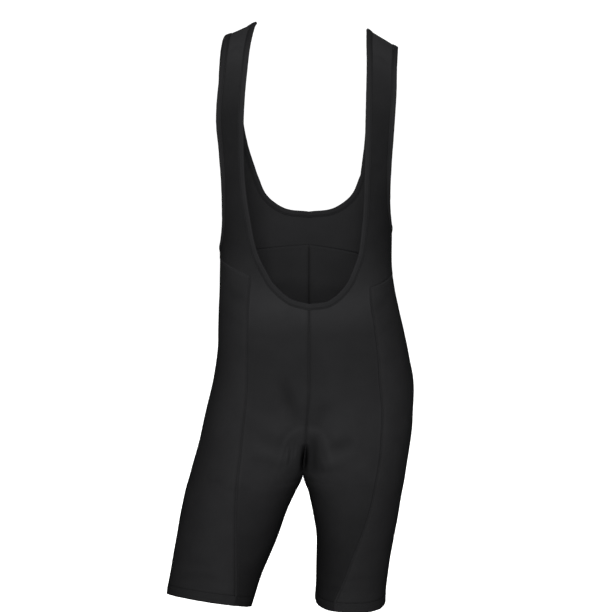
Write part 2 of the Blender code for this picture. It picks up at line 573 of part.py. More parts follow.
def back_panel(side):
    """Seat and back of the leg, up to the waist seam."""
    lines = seam_lines(side)
    band = straight(lines["back seam, leg"][0], lines["back inseam"][0], SEAT_STEPS)
    crotch = straight(lines["back seam, leg"][-1], lines["back inseam"][-1], SEAT_STEPS)
    grids = [
        patch(band, crotch, lines["back seam, leg"], lines["back inseam"]),
        patch(crotch, lines["seat waist"], lines["back seam, trunk"], lines["centre back"]),
    ]
    seams = [band, lines["seat waist"], lines["back inseam"], lines["back seam, leg"],
             lines["back seam, trunk"]]
    return cloth([(side, grid) for grid in grids], [(side, stretch) for stretch in seams], CLOTH)


def back_bib():
    """The back above the waist seam, in one piece with its two straps."""
    grids, seams = [], []
    for side in SIGN:
        lines = seam_lines(side)
        neck, arm = lines["neck back, high"], lines["armhole, back"]
        low_arm = arm[:BACK_ARM_STEPS + 1]
        rows = SIDE_SEAM_STEPS + BACK_ARM_STEPS
        waist = join(lines["side waist"], lines["seat waist"])
        centre = straight((2.0, WAIST_BACK), lines["neck back, low"][0], rows)
        blade = shared_out(arm[BACK_ARM_STEPS], neck[0], STRAP_SHARES)
        seam = shared_out(arm[-1 - OVER_STEPS], neck[-1 - OVER_STEPS], STRAP_SHARES)
        top = join(blade, lines["neck back, low"][::-1])
        strap_arm, strap_neck = arm[BACK_ARM_STEPS:-OVER_STEPS], neck[:-OVER_STEPS]
        grids.append((side, patch(waist, top, join(lines["side seam"], low_arm), centre)))
        grids.append((side, patch(blade, seam, strap_arm, strap_neck, STRAP_SHARES)))
        seams += [(side, waist), (side, lines["side seam"]), (side, seam)]
    return cloth(grids, seams, CLOTH, gap=0)


def neck_binding():
    """One strip round the scoop of the front, over both shoulders and round the back neckline."""
    stretches = []
    for side, order in (("right", 1), ("left", -1)):
        lines = seam_lines(side)
        whole = join(lines["neck, low"], lines["neck, high"])
        back = join(lines["neck back, low"], lines["neck back, high"])
        stretches += [(side, whole), (side, back[::-1])][::order]
    stretches[2:] = [(side, stretch[::-1]) for side, stretch in stretches[2:]]
    return binding(stretches, 1)


def armhole_binding(side):
    """One strip from under the arm up the front strap, over the shoulder and down the back."""
    lines = seam_lines(side)
    return binding([(side, lines["armhole, front"]), (side, lines["armhole, back"][::-1])], SIGN[side])


def hem_band(side):
    """The turned band round the bottom of a leg, two layers of cloth thick."""
    lines = seam_lines(side)
    band = HEM[side] + HEM_DEPTH
    stations = join(
        straight(lines["front inseam"][0], lines["front seam, leg"][0], FRONT_STEPS + CORNER_STEPS),
        straight(lines["front seam, leg"][0], lines["back seam, leg"][0], SLANT_STEPS + BACK_WAIST_STEPS),
        straight(lines["back seam, leg"][0], (2.0, band), SEAT_STEPS))
    hem = stations - [0, HEM_DEPTH]
    return cloth([(side, np.stack([hem, stations]))], [(side, stations)], HEM_CLOTH)


def pad_place(side, row, across):
    """Where a line across the pad stands on the surface, across metres out from its middle."""
    turn = math.radians(row.turn)
    level = row.height - across * math.sin(turn)
    out = section(side, level).inner + across * math.cos(turn)
    return v_at(side, out, level, row.face), level


def seat_pad():
    """The pad inside the crotch: a saddle on the panels' inner faces, thickest along its middle.

    A row's points stand off the surface along its normals. Its middle one stands off the centre seam, square
    to that seam's own curve. Where the rows turn down the legs the pad bridges the narrow ridge between them.
    """
    shares = np.linspace(0, 1, PAD_COLUMNS + 1)
    rows = PAD_ROWS
    places = {side: np.array([[pad_place(side, row, row.reach * share) for share in shares] for row in rows])
              for side in SIGN}
    middle = surface("left", places["left"][:, 0, 0], places["left"][:, 0, 1], gap=0)
    along = unit(np.gradient(middle, axis=0))
    square = unit(np.cross([1.0, 0.0, 0.0], along))
    turn = np.sin(np.radians([row.turn for row in rows]))
    taper = np.where(np.arange(len(rows)) % (len(rows) - 1) == 0, PAD_END_TAPER, 1.0)
    sheets = []
    for depth in (0.0, 1.0):
        crown = taper[:, None] * np.sqrt(1 - shares ** 2)[None]
        off = CLOTH + PAD_LAY + PAD_BRIDGE * turn[:, None] + depth * (PAD_RIM + (PAD_THICK - PAD_RIM) * crown)
        halves = {}
        for side, place in places.items():
            base = surface(side, place[..., 0], place[..., 1], gap=0)
            halves[side] = base - off[..., None] * outward(side, place[..., 0], place[..., 1])
        centre = middle + (off[:, 0] + PAD_RIDGE * turn)[:, None] * square
        across = (halves["right"][:, :0:-1], centre[:, None], halves["left"][:, 1:])
        sheets.append(np.concatenate(across, axis=1))
    low, high = sheets
    index = np.arange(low.shape[0] * low.shape[1]).reshape(low.shape[:2])
    quads = np.stack([index[:-1, :-1], index[:-1, 1:], index[1:, 1:], index[1:, :-1]], axis=-1)
    return shell(low.reshape(-1, 3), high.reshape(-1, 3), quads.reshape(-1, 4).tolist())


def material(name, finish):
    """A Principled material with the finish's colour and roughness."""
    made = bpy.data.materials.new(name)
    made.use_nodes = True
    shader = made.node_tree.nodes["Principled BSDF"]
    shader.inputs["Base Color"].default_value = (*finish.colour, 1)
    shader.inputs["Roughness"].default_value = finish.roughness
    shader.inputs["Metallic"].default_value = 0.0
    made.diffuse_color = (*finish.colour, 1)
    return made


def add(name, solid, finish):
    """Puts a solid into the scene as a named object with its own material."""
    points, faces = solid
    mesh = bpy.data.meshes.new(name)
    mesh.from_pydata(points.tolist(), [], faces)
    mesh.shade_smooth()
    mesh.set_sharp_from_angle(angle=math.radians(50))
    mesh.materials.append(material(name, finish))
    bpy.context.scene.collection.objects.link(bpy.data.objects.new(name, mesh))


def main():
    for thing in list(bpy.data.objects):
        bpy.data.objects.remove(thing, do_unlink=True)
    for side in SIGN:
        add("front_panel_" + side, front_panel(side), BLACK_KNIT)
        add("side_panel_" + side, side_panel(side), BLACK_KNIT)
        add("back_panel_" + side, back_panel(side), BLACK_KNIT)
        add("hem_band_" + side, hem_band(side), BLACK_KNIT)
        add("armhole_binding_" + side, armhole_binding(side), BLACK_TRIM)
    add("back_bib", back_bib(), BLACK_KNIT)
    add("neck_binding", neck_binding(), BLACK_TRIM)
    add("seat_pad", seat_pad(), PAD_FOAM)


main()
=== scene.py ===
"""Cycling bib shorts in their worn form: the finished cloth, sewing and studio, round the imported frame.

Units are metres, +Z up, the front faces -Y and the wearer's right is -X, as in the frame. Each half of the
garment is one smooth surface, and a place on it is named by (v, height): v runs round the half from the
centre front or the front inseam (0), by the side (1), to the centre back or the back inseam (2). Every
panel, seam, binding and stitch is worked out on that surface, so that all of them keep to one form.
"""

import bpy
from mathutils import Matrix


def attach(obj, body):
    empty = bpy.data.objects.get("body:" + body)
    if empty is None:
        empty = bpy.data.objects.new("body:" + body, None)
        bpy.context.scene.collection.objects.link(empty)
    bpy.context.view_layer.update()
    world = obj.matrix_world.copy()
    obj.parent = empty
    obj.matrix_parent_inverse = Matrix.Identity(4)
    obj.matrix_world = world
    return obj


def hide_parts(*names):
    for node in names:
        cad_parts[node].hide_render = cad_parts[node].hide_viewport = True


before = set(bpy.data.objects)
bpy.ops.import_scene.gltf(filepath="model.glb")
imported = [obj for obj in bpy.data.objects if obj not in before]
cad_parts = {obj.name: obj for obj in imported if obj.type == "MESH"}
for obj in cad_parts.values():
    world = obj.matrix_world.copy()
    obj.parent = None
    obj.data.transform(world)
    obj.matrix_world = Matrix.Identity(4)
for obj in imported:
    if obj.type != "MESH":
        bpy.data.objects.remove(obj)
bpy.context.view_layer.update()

import logging
import math
from dataclasses import dataclass, field
from enum import Enum
from functools import partial
from typing import Any, Callable

import bpy
import numpy as np
from mathutils import Vector

LOG = logging.getLogger("bib_shorts")
Array = np.ndarray

# Cloth and sewing, as in the frame
CLOTH = 0.0015
SEAM_GAP = 0.0003
BINDING_WIDTH = 0.008
HEM_DEPTH = 0.015
STRETCH_ACROSS = 1.10
STRETCH_ALONG = 1.03

# What the materials read by name, the painted light and shade among them, and the noise patterns' roughness
CLOTH_MAP = "cloth"
PAINTED_SHADING = "tone"
NOISE_ROUGHNESS = 0.55

# Main levels, and a distance out past every side, which stands for the side itself
CHEST = -0.130
CROTCH = -0.697
SHOULDER_ARC = 0.180
SHOULDER_TOP = CHEST + SHOULDER_ARC
SIDE = 1.0

# How the section rounds off towards the crotch, and how far below it the crotch's normals are read
VALLEY_POWER = 0.35
BELOW_CROTCH = 0.006

# The step that slopes are measured over, the gap between points that are one, and a fine line's steps
STEP = 1e-4
SAME = 1e-5
FINE_STEPS = 2001


class Side(Enum):
    """A half of the garment, with the way it lies along X."""

    RIGHT = -1.0
    LEFT = 1.0

    @property
    def word(self) -> str:
        """The side's name as node names spell it."""
        return self.name.lower()


class Face(Enum):
    """The front or the back of a half."""

    FRONT = "front"
    BACK = "back"


# Short names for the tables
R, L, FRONT, BACK = Side.RIGHT, Side.LEFT, Face.FRONT, Face.BACK


class Slot(Enum):
    """The record's material slots."""

    KNIT = "black_knit"
    BINDING = "black_binding"
    PAD = "pad_cloth"


@dataclass(frozen=True)
class Knot:
    """A place on a half, by its distance out from the centre seam and its height."""

    out: float
    height: float


@dataclass(frozen=True)
class Shoulder:
    """A strap's top: its height at a distance out, and how steeply the shoulder falls away."""

    out: float
    height: float
    fall: float


@dataclass(frozen=True)
class Rise:
    """Where the centre seam leaves the full depth, and how roundly it curves under to the crotch."""

    start: float
    power: float


@dataclass(frozen=True)
class Section:
    """A section of a half at one height.

    Outer, full and inner are distances out from the centre seam: of the side, of the deepest place and of
    the inside of the leg. Front, side and back are places along Y. Roll and pitch are the section's slopes
    along X and along Y, and power is that of its superellipse.
    """

    height: float
    outer: float
    full: float
    inner: float
    front: float
    side: float
    back: float
    roll: float
    pitch: float
    power: float


FRONT_RISE = Rise(-0.520, 2.4)
BACK_RISE = Rise(-0.470, 2.1)
CENTRE_SEAM = ((-0.900, -0.0094), (-0.697, -0.0094), (-0.640, -0.0062), (-0.600, -0.0042), (-0.540, 0.0),
               (0.060, 0.0))
SHOULDERS = {R: Shoulder(0.080, 0.0143, 0.435), L: Shoulder(0.091, 0.0020, 0.605)}
HEM = {R: -0.8950, L: -0.9025}
SECTIONS = {
    R: (
        Section(-0.9100, 0.2165, 0.1500, 0.0870, -0.074, -0.021, 0.033, 0.165, -0.165, 2.20),
        Section(-0.8935, 0.2145, 0.1470, 0.0811, -0.076, -0.020, 0.036, 0.160, -0.165, 2.20),
        Section(-0.8510, 0.2076, 0.1370, 0.0666, -0.081, -0.016, 0.050, 0.110, -0.130, 2.15),
        Section(-0.7985, 0.1992, 0.1210, 0.0436, -0.087, -0.010, 0.067, 0.071, -0.075, 2.15),
        Section(-0.7495, 0.1896, 0.1070, 0.0250, -0.093, -0.002, 0.086, 0.050, -0.045, 2.20),
        Section(-0.7200, 0.1840, 0.0990, 0.0105, -0.096, 0.002, 0.098, 0.025, -0.020, 2.20),
        Section(-0.6970, 0.1780, 0.0900, 0.0000, -0.099, 0.005, 0.109, 0.000, 0.000, 2.20),
        Section(-0.6600, 0.1685, 0.0770, 0.0000, -0.103, 0.006, 0.120, 0.000, 0.000, 2.25),
        Section(-0.6070, 0.1600, 0.0620, 0.0000, -0.106, 0.006, 0.127, 0.000, 0.000, 2.30),
        Section(-0.5560, 0.1510, 0.0500, 0.0000, -0.106, 0.006, 0.122, 0.000, 0.000, 2.30),
        Section(-0.5050, 0.1440, 0.0400, 0.0000, -0.103, 0.005, 0.110, 0.000, 0.000, 2.30),
        Section(-0.4540, 0.1410, 0.0300, 0.0000, -0.100, 0.004, 0.097, 0.000, 0.000, 2.30),
        Section(-0.4040, 0.1400, 0.0300, 0.0000, -0.098, 0.003, 0.090, 0.000, 0.000, 2.30),
        Section(-0.3410, 0.1380, 0.0300, 0.0000, -0.100, 0.002, 0.090, 0.000, 0.000, 2.35),
        Section(-0.2700, 0.1470, 0.0300, 0.0000, -0.107, 0.001, 0.097, 0.000, 0.000, 2.35),
        Section(-0.2000, 0.1650, 0.0300, 0.0000, -0.112, 0.000, 0.104, 0.000, 0.000, 2.35),
        Section(-0.1300, 0.1850, 0.0300, 0.0000, -0.113, 0.000, 0.105, 0.000, 0.000, 2.35),
    ),
    L: (
        Section(-0.9200, 0.1304, 0.0740, 0.0194, -0.044, 0.022, 0.084, -0.030, 0.110, 2.60),
        Section(-0.9025, 0.1304, 0.0740, 0.0190, -0.046, 0.021, 0.086, -0.030, 0.110, 2.60),
        Section(-0.8650, 0.1336, 0.0760, 0.0205, -0.053, 0.018, 0.088, 0.000, 0.095, 2.15),
        Section(-0.8130, 0.1414, 0.0790, 0.0221, -0.065, 0.013, 0.092, 0.000, 0.065, 2.15),
        Section(-0.7610, 0.1502, 0.0810, 0.0157, -0.079, 0.009, 0.098, 0.000, 0.035, 2.20),
        Section(-0.7250, 0.1560, 0.0820, 0.0085, -0.088, 0.007, 0.104, 0.000, 0.015, 2.20),
        Section(-0.6970, 0.1610, 0.0830, 0.0000, -0.095, 0.006, 0.112, 0.000, 0.000, 2.20),
        Section(-0.6580, 0.1645, 0.0760, 0.0000, -0.101, 0.006, 0.121, 0.000, 0.000, 2.25),
        Section(-0.6070, 0.1675, 0.0640, 0.0000, -0.106, 0.006, 0.127, 0.000, 0.000, 2.30),
        Section(-0.5560, 0.1645, 0.0520, 0.0000, -0.106, 0.006, 0.122, 0.000, 0.000, 2.30),
        Section(-0.5050, 0.1560, 0.0400, 0.0000, -0.103, 0.005, 0.110, 0.000, 0.000, 2.30),
        Section(-0.4540, 0.1450, 0.0300, 0.0000, -0.100, 0.004, 0.097, 0.000, 0.000, 2.30),
        Section(-0.4040, 0.1340, 0.0300, 0.0000, -0.098, 0.003, 0.090, 0.000, 0.000, 2.30),
        Section(-0.3410, 0.1278, 0.0300, 0.0000, -0.100, 0.002, 0.090, 0.000, 0.000, 2.35),
        Section(-0.2700, 0.1315, 0.0300, 0.0000, -0.107, 0.001, 0.097, 0.000, 0.000, 2.35),
        Section(-0.2000, 0.1520, 0.0300, 0.0000, -0.112, 0.000, 0.104, 0.000, 0.000, 2.35),
        Section(-0.1300, 0.1780, 0.0300, 0.0000, -0.113, 0.000, 0.105, 0.000, 0.000, 2.35),
    ),
}


def knots(*places: tuple[float, float]) -> tuple[Knot, ...]:
    """A row of knots from (out, height) pairs."""
    return tuple(Knot(*place) for place in places)


FRONT_SEAM = {
    R: knots((0.1043, -0.880), (0.1041, -0.826), (0.1039, -0.747), (0.1010, -0.680),
             (0.0988, -0.633), (0.0972, -0.595), (0.0960, -0.540), (0.0952, -0.454),
             (0.0935, -0.414), (0.0910, -0.3702)),
    L: knots((0.0500, -0.885), (0.0656, -0.847), (0.0780, -0.811), (0.0920, -0.774),
             (0.1074, -0.722), (0.1150, -0.675), (0.1172, -0.634), (0.1168, -0.591),
             (0.1100, -0.540), (0.1070, -0.497), (0.1012, -0.446), (0.0955, -0.410),
             (0.0945, -0.3884)),
}
BACK_SEAM = {
    R: knots((0.1240, -0.880), (0.1180, -0.800), (0.1060, -0.700), (0.0980, -0.600),
             (0.0900, -0.480), (0.0840, -0.352)),
    L: knots((0.0880, -0.885), (0.1000, -0.800), (0.1060, -0.700), (0.1020, -0.600),
             (0.0920, -0.480), (0.0840, -0.360)),
}
WAIST_SIDE = {R: -0.3520, L: -0.3750}
WAIST_BOW = {R: 0.0048, L: 0.0010}
WAIST_BACK = -0.345
ARMHOLE_LOW = {R: -0.335, L: -0.305}
NECK_LOW = {
    R: knots((0.0, -0.4112), (0.0280, -0.4032), (0.0455, -0.3895), (0.0580, -0.3757),
             (0.0660, -0.3620)),
    L: knots((0.0, -0.4112), (0.0300, -0.4062), (0.0510, -0.3895), (0.0611, -0.3757),
             (0.0672, -0.3620)),
}
NECK_HIGH = {
    R: knots((0.0660, -0.3620), (0.0780, -0.3380), (0.0856, -0.3120), (0.0910, -0.2840),
             (0.0975, -0.2400), (0.1008, -0.1800), (0.1010, -0.1300), (0.0990, -0.0950),
             (0.0945, -0.0500), (0.0885, 0.0000), (0.0820, 0.0500)),
    L: knots((0.0672, -0.3620), (0.0763, -0.3380), (0.0808, -0.3120), (0.0833, -0.2840),
             (0.0856, -0.2400), (0.0866, -0.1800), (0.0872, -0.1300), (0.0880, -0.0950),
             (0.0892, -0.0500), (0.0895, 0.0000), (0.0900, 0.0500)),
}
ARM_FRONT = {
    R: knots((SIDE, -0.3350), (0.1345, -0.3120), (0.1330, -0.2800), (0.1330, -0.2300),
             (0.1370, -0.1750), (0.1404, -0.1300), (0.1390, -0.0980), (0.1348, -0.0550),
             (0.1302, 0.0000), (0.1265, 0.0500)),
    L: knots((SIDE, -0.3050), (0.1258, -0.2880), (0.1235, -0.2550), (0.1240, -0.2200),
             (0.1265, -0.1680), (0.1290, -0.1300), (0.1312, -0.0950), (0.1325, -0.0550),
             (0.1345, 0.0000), (0.1362, 0.0500)),
}
NECK_BACK_LOW = knots((0.0, -0.2950), (0.0400, -0.2890), (0.0680, -0.2680), (0.0830, -0.2350))
NECK_BACK_HIGH = {
    R: knots((0.0830, -0.2350), (0.0985, -0.1850), (0.1065, -0.1300), (0.1055, -0.0700),
             (0.0960, 0.0000), (0.0820, 0.0500)),
    L: knots((0.0830, -0.2350), (0.0890, -0.1850), (0.0920, -0.1300), (0.0930, -0.0700),
             (0.0920, 0.0000), (0.0900, 0.0500)),
}
ARM_BACK = {
    R: knots((SIDE, -0.3350), (0.1330, -0.3120), (0.1300, -0.2750), (0.1310, -0.2300),
             (0.1360, -0.1800), (0.1405, -0.1300), (0.1395, -0.0700), (0.1335, 0.0000),
             (0.1265, 0.0500)),
    L: knots((SIDE, -0.3050), (0.1250, -0.2880), (0.1215, -0.2550), (0.1220, -0.2200),
             (0.1260, -0.1800), (0.1295, -0.1300), (0.1325, -0.0700), (0.1350, 0.0000),
             (0.1362, 0.0500)),
}


@dataclass(frozen=True)
class Steps:
    """How many steps each stretch of a panel's edge is cut into."""

    leg: int = 64
    rise: int = 90
    front: int = 34
    corner: int = 8
    slant: int = 14
    side_seam: int = 14
    neck_rise: int = 10
    strap: int = 110
    over: int = 11
    back_waist: int = 24
    seat: int = 34
    back_arm: int = 30
    back_strap: int = 66


STEPS = Steps()

# Above 1, the steps are shorter towards the crotch, down a leg and up the centre
CROTCH_CROWDING = 1.35
RISE_CROWDING = 1.15


def blend(at_knots: Array, values: Array, at: Array) -> Array:
    """Smooth curve through knots: cubic stretches, level where the values turn back or stay.

    Args:
        at_knots: Where the knots stand, rising.
        values: The value at each knot.
        at: Where the curve is read, held within the knots.

    Returns:
        The curve's value at each place asked for.
    """
    at_knots, values = np.asarray(at_knots, float), np.asarray(values, float)
    at = np.clip(at, at_knots[0], at_knots[-1])
    chords = np.diff(values) / np.diff(at_knots)
    slopes = np.gradient(values, at_knots)
    limit = np.where(chords[1:] * chords[:-1] > 0, 3 * np.minimum(abs(chords[1:]), abs(chords[:-1])), 0)
    slopes[1:-1] = np.clip(slopes[1:-1], -limit, limit)
    i = np.clip(np.searchsorted(at_knots, at, side="right") - 1, 0, len(at_knots) - 2)
    span = at_knots[i + 1] - at_knots[i]
    t = (at - at_knots[i]) / span
    rise = 3 * t ** 2 - 2 * t ** 3
    start = (t ** 3 - 2 * t ** 2 + t) * span * slopes[i]
    end = (t ** 3 - t ** 2) * span * slopes[i + 1]
    return values[i] * (1 - rise) + values[i + 1] * rise + start + end


def unit(vectors: Array) -> Array:
    """Vectors scaled to length one."""
    return vectors / np.maximum(np.linalg.norm(vectors, axis=-1, keepdims=True), 1e-12)


def run_of(points: Array) -> Array:
    """The length run up to each point of a path."""
    return np.concatenate([[0.0], np.cumsum(np.linalg.norm(np.diff(points, axis=0), axis=1))])


def read(columns: Array, run: Array, at: Array) -> Array:
    """The columns of a line, read at distances along its run."""
    return np.stack([np.interp(at, run, columns[:, k]) for k in range(columns.shape[1])], axis=-1)


def together(*parts: Any) -> Array:
    """Arrays spread to one shape and stacked on a new last axis."""
    return np.stack(np.broadcast_arrays(*parts), axis=-1)


def spread(v: Any, height: Any) -> tuple[Array, Array]:
    """Places as numbers of one shape."""
    return np.broadcast_arrays(np.asarray(v, float), np.asarray(height, float))


def join(*lines: Array) -> Array:
    """Lines end to end, each joint's point once."""
    return np.concatenate([lines[0]] + [part[1:] for part in lines[1:]])


def straight(first: Any, last: Any, steps: int) -> Array:
    """Evenly spaced (v, height) from one place to another."""
    return np.linspace(first, last, steps + 1)


def patch(bottom: Array, top: Array, start: Array, end: Array) -> Array:
    """A four-sided patch of places between its edges: ruled both ways, less what is counted twice.

    Args:
        bottom: The lower edge.
        top: The upper edge, as many places as the lower.
        start: The edge from bottom's first place to top's.
        end: The edge from bottom's last place to top's.

    Returns:
        Rows of places, from bottom to top.
    """
    a = np.linspace(0, 1, len(bottom))[None, :, None]
    b = np.linspace(0, 1, len(start))[:, None, None]
    across = (1 - b) * bottom[None] + b * top[None]
    along = (1 - a) * start[:, None] + a * end[:, None]
    corners = ((1 - a) * (1 - b) * bottom[0] + a * (1 - b) * bottom[-1]
               + (1 - a) * b * top[0] + a * b * top[-1])
    return across + along - corners


@dataclass
class Half:
    """One half's surface, its seams and its edges."""

    side: Side
    below_hem: float = 0.03
    table_rows: int = 240
    table_columns: int = 241
    climb_knots: int = 16
    lines: dict[str, Array] = field(default_factory=dict)

    def __post_init__(self) -> None:
        """Works out the girth table and the seam lines."""
        self.heights = np.linspace(HEM[self.side] - self.below_hem, SHOULDER_TOP, self.table_rows)
        self.turns = np.linspace(0, 2, self.table_columns)
        rings = self.surface(self.turns[None], self.heights[:, None])
        steps = np.linalg.norm(np.diff(rings, axis=1), axis=-1)
        self.girth = np.concatenate([np.zeros((len(self.heights), 1)), np.cumsum(steps, axis=1)], axis=1)
        self.draw_lines()

    def cut(self, height: Array) -> dict[str, Array]:
        """The section at each height, every column blended down the table.

        Args:
            height: The levels.

        Returns:
            Each column's values at those levels, under its name.
        """
        rows = SECTIONS[self.side]
        levels = [row.height for row in rows]
        names = ("outer", "full", "inner", "front", "side", "back", "roll", "pitch", "power")
        return {name: blend(levels, [getattr(row, name) for row in rows], height) for name in names}

    @staticmethod
    def rise_share(rise: Rise, height: Array) -> Array:
        """How much of the full depth the centre seam still has: 1 above the rise, 0 at the crotch."""
        down = np.clip((rise.start - height) / (rise.start - CROTCH), 0.0, 1.0)
        return (1 - down ** rise.power) ** (1 / rise.power)

    @staticmethod
    def gather(height: Array) -> Array:
        """Power that spreads the points round a half: 1 on the trunk, 2 round a leg."""
        return 1 + np.clip((FRONT_RISE.start - height) / (FRONT_RISE.start - CROTCH), 0.0, 1.0) ** 2

    def surface(self, v: Array, height: Array, gap: float = SEAM_GAP / 2) -> Array:
        """Points of the outer face of the cloth.

        The distance out goes as a power of the sine of v. The depth follows a superellipse from the fullest
        place to the side, and inwards falls to that of the centre seam, or to nothing round the inside of a
        leg. Above the chest the section shrinks and rises on a quarter ellipse up to the shoulder's slope.

        Args:
            v: How far round the half, 0 to 2.
            height: The level, and above the chest the way on over the shoulder.
            gap: How far the half stands off the centre.

        Returns:
            Points, with x, y and z on the last axis.
        """
        v, height = spread(v, height)
        level = np.minimum(height, CHEST)
        cut = self.cut(level)
        at_front = v <= 1
        round_half = np.where(at_front, v, 2 - v)
        turn = np.sin(round_half * math.pi / 2) ** self.gather(level)
        out = cut["inner"] + (cut["outer"] - cut["inner"]) * turn
        beyond = np.clip((out - cut["full"]) / (cut["outer"] - cut["full"]), 0.0, 1.0)
        within = np.clip((cut["full"] - out) / (cut["full"] - cut["inner"]), 0.0, 1.0)
        side_share = (1 - beyond ** cut["power"]) ** (1 / cut["power"])
        centre = np.where(at_front, self.rise_share(FRONT_RISE, level), self.rise_share(BACK_RISE, level))
        rounding = 1 + (cut["power"] - 1) * (1 - centre) ** VALLEY_POWER
        bow = (1 - within ** cut["power"]) ** (2 / rounding)
        inner_share = np.sqrt(centre ** 2 + (1 - centre ** 2) * bow)
        share = np.where(out > cut["full"], side_share, inner_share)
        y = cut["side"] + (np.where(at_front, cut["front"], cut["back"]) - cut["side"]) * share
        z = level + cut["roll"] * (out - (cut["outer"] + cut["inner"]) / 2) + cut["pitch"] * (y - cut["side"])
        over = np.clip((height - CHEST) / SHOULDER_ARC, 0.0, 1.0) * math.pi / 2
        shoulder = SHOULDERS[self.side]
        top = shoulder.height - shoulder.fall * (out - shoulder.out)
        y = cut["side"] + (y - cut["side"]) * np.cos(over)
        z = z + (top - CHEST) * np.sin(over)
        across = blend([row[0] for row in CENTRE_SEAM], [row[1] for row in CENTRE_SEAM], level)
        return np.stack([across + self.side.value * (gap + out), y, z], axis=-1)

    def slopes(self, v: Array, height: Array) -> tuple[Array, Array]:
        """The surface's two slopes. Round a leg, v runs past the inseam.

        Args:
            v: How far round.
            height: The level.

        Returns:
            What a point moves by for each unit of v, and for each unit of height.
        """
        v, height = spread(v, height)
        on_leg = height <= CROTCH
        ahead = np.where(on_leg, v + STEP, np.minimum(v + STEP, 2))
        behind = np.where(on_leg, v - STEP, np.maximum(v - STEP, 0))
        loop = 2 + 1e-9
        along_v = self.surface(ahead % loop, height) - self.surface(behind % loop, height)
        level = np.minimum(height, SHOULDER_TOP - STEP)
        along_height = self.surface(v, level + STEP) - self.surface(v, level - STEP)
        return along_v / (ahead - behind)[..., None], along_height / (2 * STEP)

    def outward(self, v: Array, height: Array) -> Array:
        """Unit normals that point out of the garment. At the crotch they are those just below it.

        Args:
            v: How far round.
            height: The level.

        Returns:
            A normal for each place.
        """
        v, height = spread(v, height)
        at_crotch = (abs(height - CROTCH) < SAME) & (np.minimum(v, 2 - v) < SAME)
        along_v, along_height = self.slopes(v, np.where(at_crotch, CROTCH - BELOW_CROTCH, height))
        return unit(self.side.value * np.cross(along_v, along_height))

    def v_at(self, out: Array, height: Array, face: Face) -> Array:
        """The v of points at a distance out from the centre seam.

        Args:
            out: The distances.
            height: The level.
            face: The front or the back.

        Returns:
            How far round each point lies.
        """
        level = np.minimum(height, CHEST)
        cut = self.cut(level)
        share = np.clip((out - cut["inner"]) / (cut["outer"] - cut["inner"]), 0.0, 1.0)
        v = np.arcsin(share ** (1 / self.gather(level))) * 2 / math.pi
        return v if face is FRONT else 2 - v

    def line(self, places: tuple[Knot, ...], steps: int, face: Face, crowding: float = 1.0) -> Array:
        """A smooth line through knots, cut by its length.

        Args:
            places: The knots.
            steps: How many steps the line is cut into.
            face: The front or the back.
            crowding: Above 1 the steps start shorter.

        Returns:
            Rows of (v, height).
        """
        height = np.array([knot.height for knot in places])
        outer = self.cut(np.minimum(height, CHEST))["outer"]
        out = np.minimum([knot.out for knot in places], outer)
        run = run_of(self.surface(self.v_at(out, height, face), height))
        fine = np.linspace(0, run[-1], FINE_STEPS)
        fine_height = blend(run, height, fine)
        path = together(self.v_at(blend(run, out, fine), fine_height, face), fine_height)
        run = run_of(self.surface(path[:, 0], path[:, 1]))
        return read(path, run, run[-1] * np.linspace(0, 1, steps + 1) ** crowding)

    def draw_lines(self) -> None:
        """Every seam and edge of the half, as lines of (v, height) that its panels share."""
        side, lines = self.side, self.lines
        hem = HEM[side] + HEM_DEPTH
        leg = CROTCH + (hem - CROTCH) * np.linspace(1, 0, STEPS.leg + 1) ** CROTCH_CROWDING
        for name, places, face in (("front seam", FRONT_SEAM, FRONT), ("back seam", BACK_SEAM, BACK)):
            whole = self.line(places[side], FINE_STEPS, face)
            trunk = np.linspace(CROTCH, whole[-1, 1], STEPS.rise + 1)
            for part, heights in ((", leg", leg), (", trunk", trunk)):
                lines[name + part] = together(np.interp(heights, whole[:, 1], whole[:, 0]), heights)
        lines["front inseam"] = together(0.0, leg)
        lines["back inseam"] = together(2.0, leg)
        climb = np.linspace(0, 1, self.climb_knots) ** 3
        for name, top, face in (("centre front", NECK_LOW[side][0].height, FRONT),
                                ("centre back", WAIST_BACK, BACK)):
            places = tuple(Knot(0.0, CROTCH + (top - CROTCH) * share) for share in climb)
            lines[name] = self.line(places, STEPS.rise, face, RISE_CROWDING)
        corner, back_corner = lines["front seam, trunk"][-1], lines["back seam, trunk"][-1]
        waist, arm = np.array([1.0, WAIST_SIDE[side]]), np.array([1.0, ARMHOLE_LOW[side]])
        lines["neck, low"] = self.line(NECK_LOW[side], STEPS.front, FRONT)
        lines["neck, high"] = self.line(NECK_HIGH[side], STEPS.neck_rise + STEPS.strap, FRONT)
        lines["corner"] = straight(lines["neck, low"][-1], corner, STEPS.corner)
        lines["front waist"] = straight(corner, waist, STEPS.slant)
        share = np.linspace(0, 1, STEPS.slant + 1)
        lines["front waist"][:, 1] += WAIST_BOW[side] * 4 * share * (1 - share)
        lines["side seam"] = straight(waist, arm, STEPS.side_seam)
        lines["armhole, front"] = self.line(ARM_FRONT[side], STEPS.strap, FRONT)
        lines["side waist"] = straight(waist, back_corner, STEPS.back_waist)
        lines["seat waist"] = straight(back_corner, (2.0, WAIST_BACK), STEPS.seat)
        lines["neck back, low"] = self.line(NECK_BACK_LOW, STEPS.seat, BACK)
        lines["neck back, high"] = self.line(NECK_BACK_HIGH[side], STEPS.back_strap, BACK)
        lines["armhole, back"] = self.line(ARM_BACK[side], STEPS.back_arm + STEPS.back_strap, BACK)

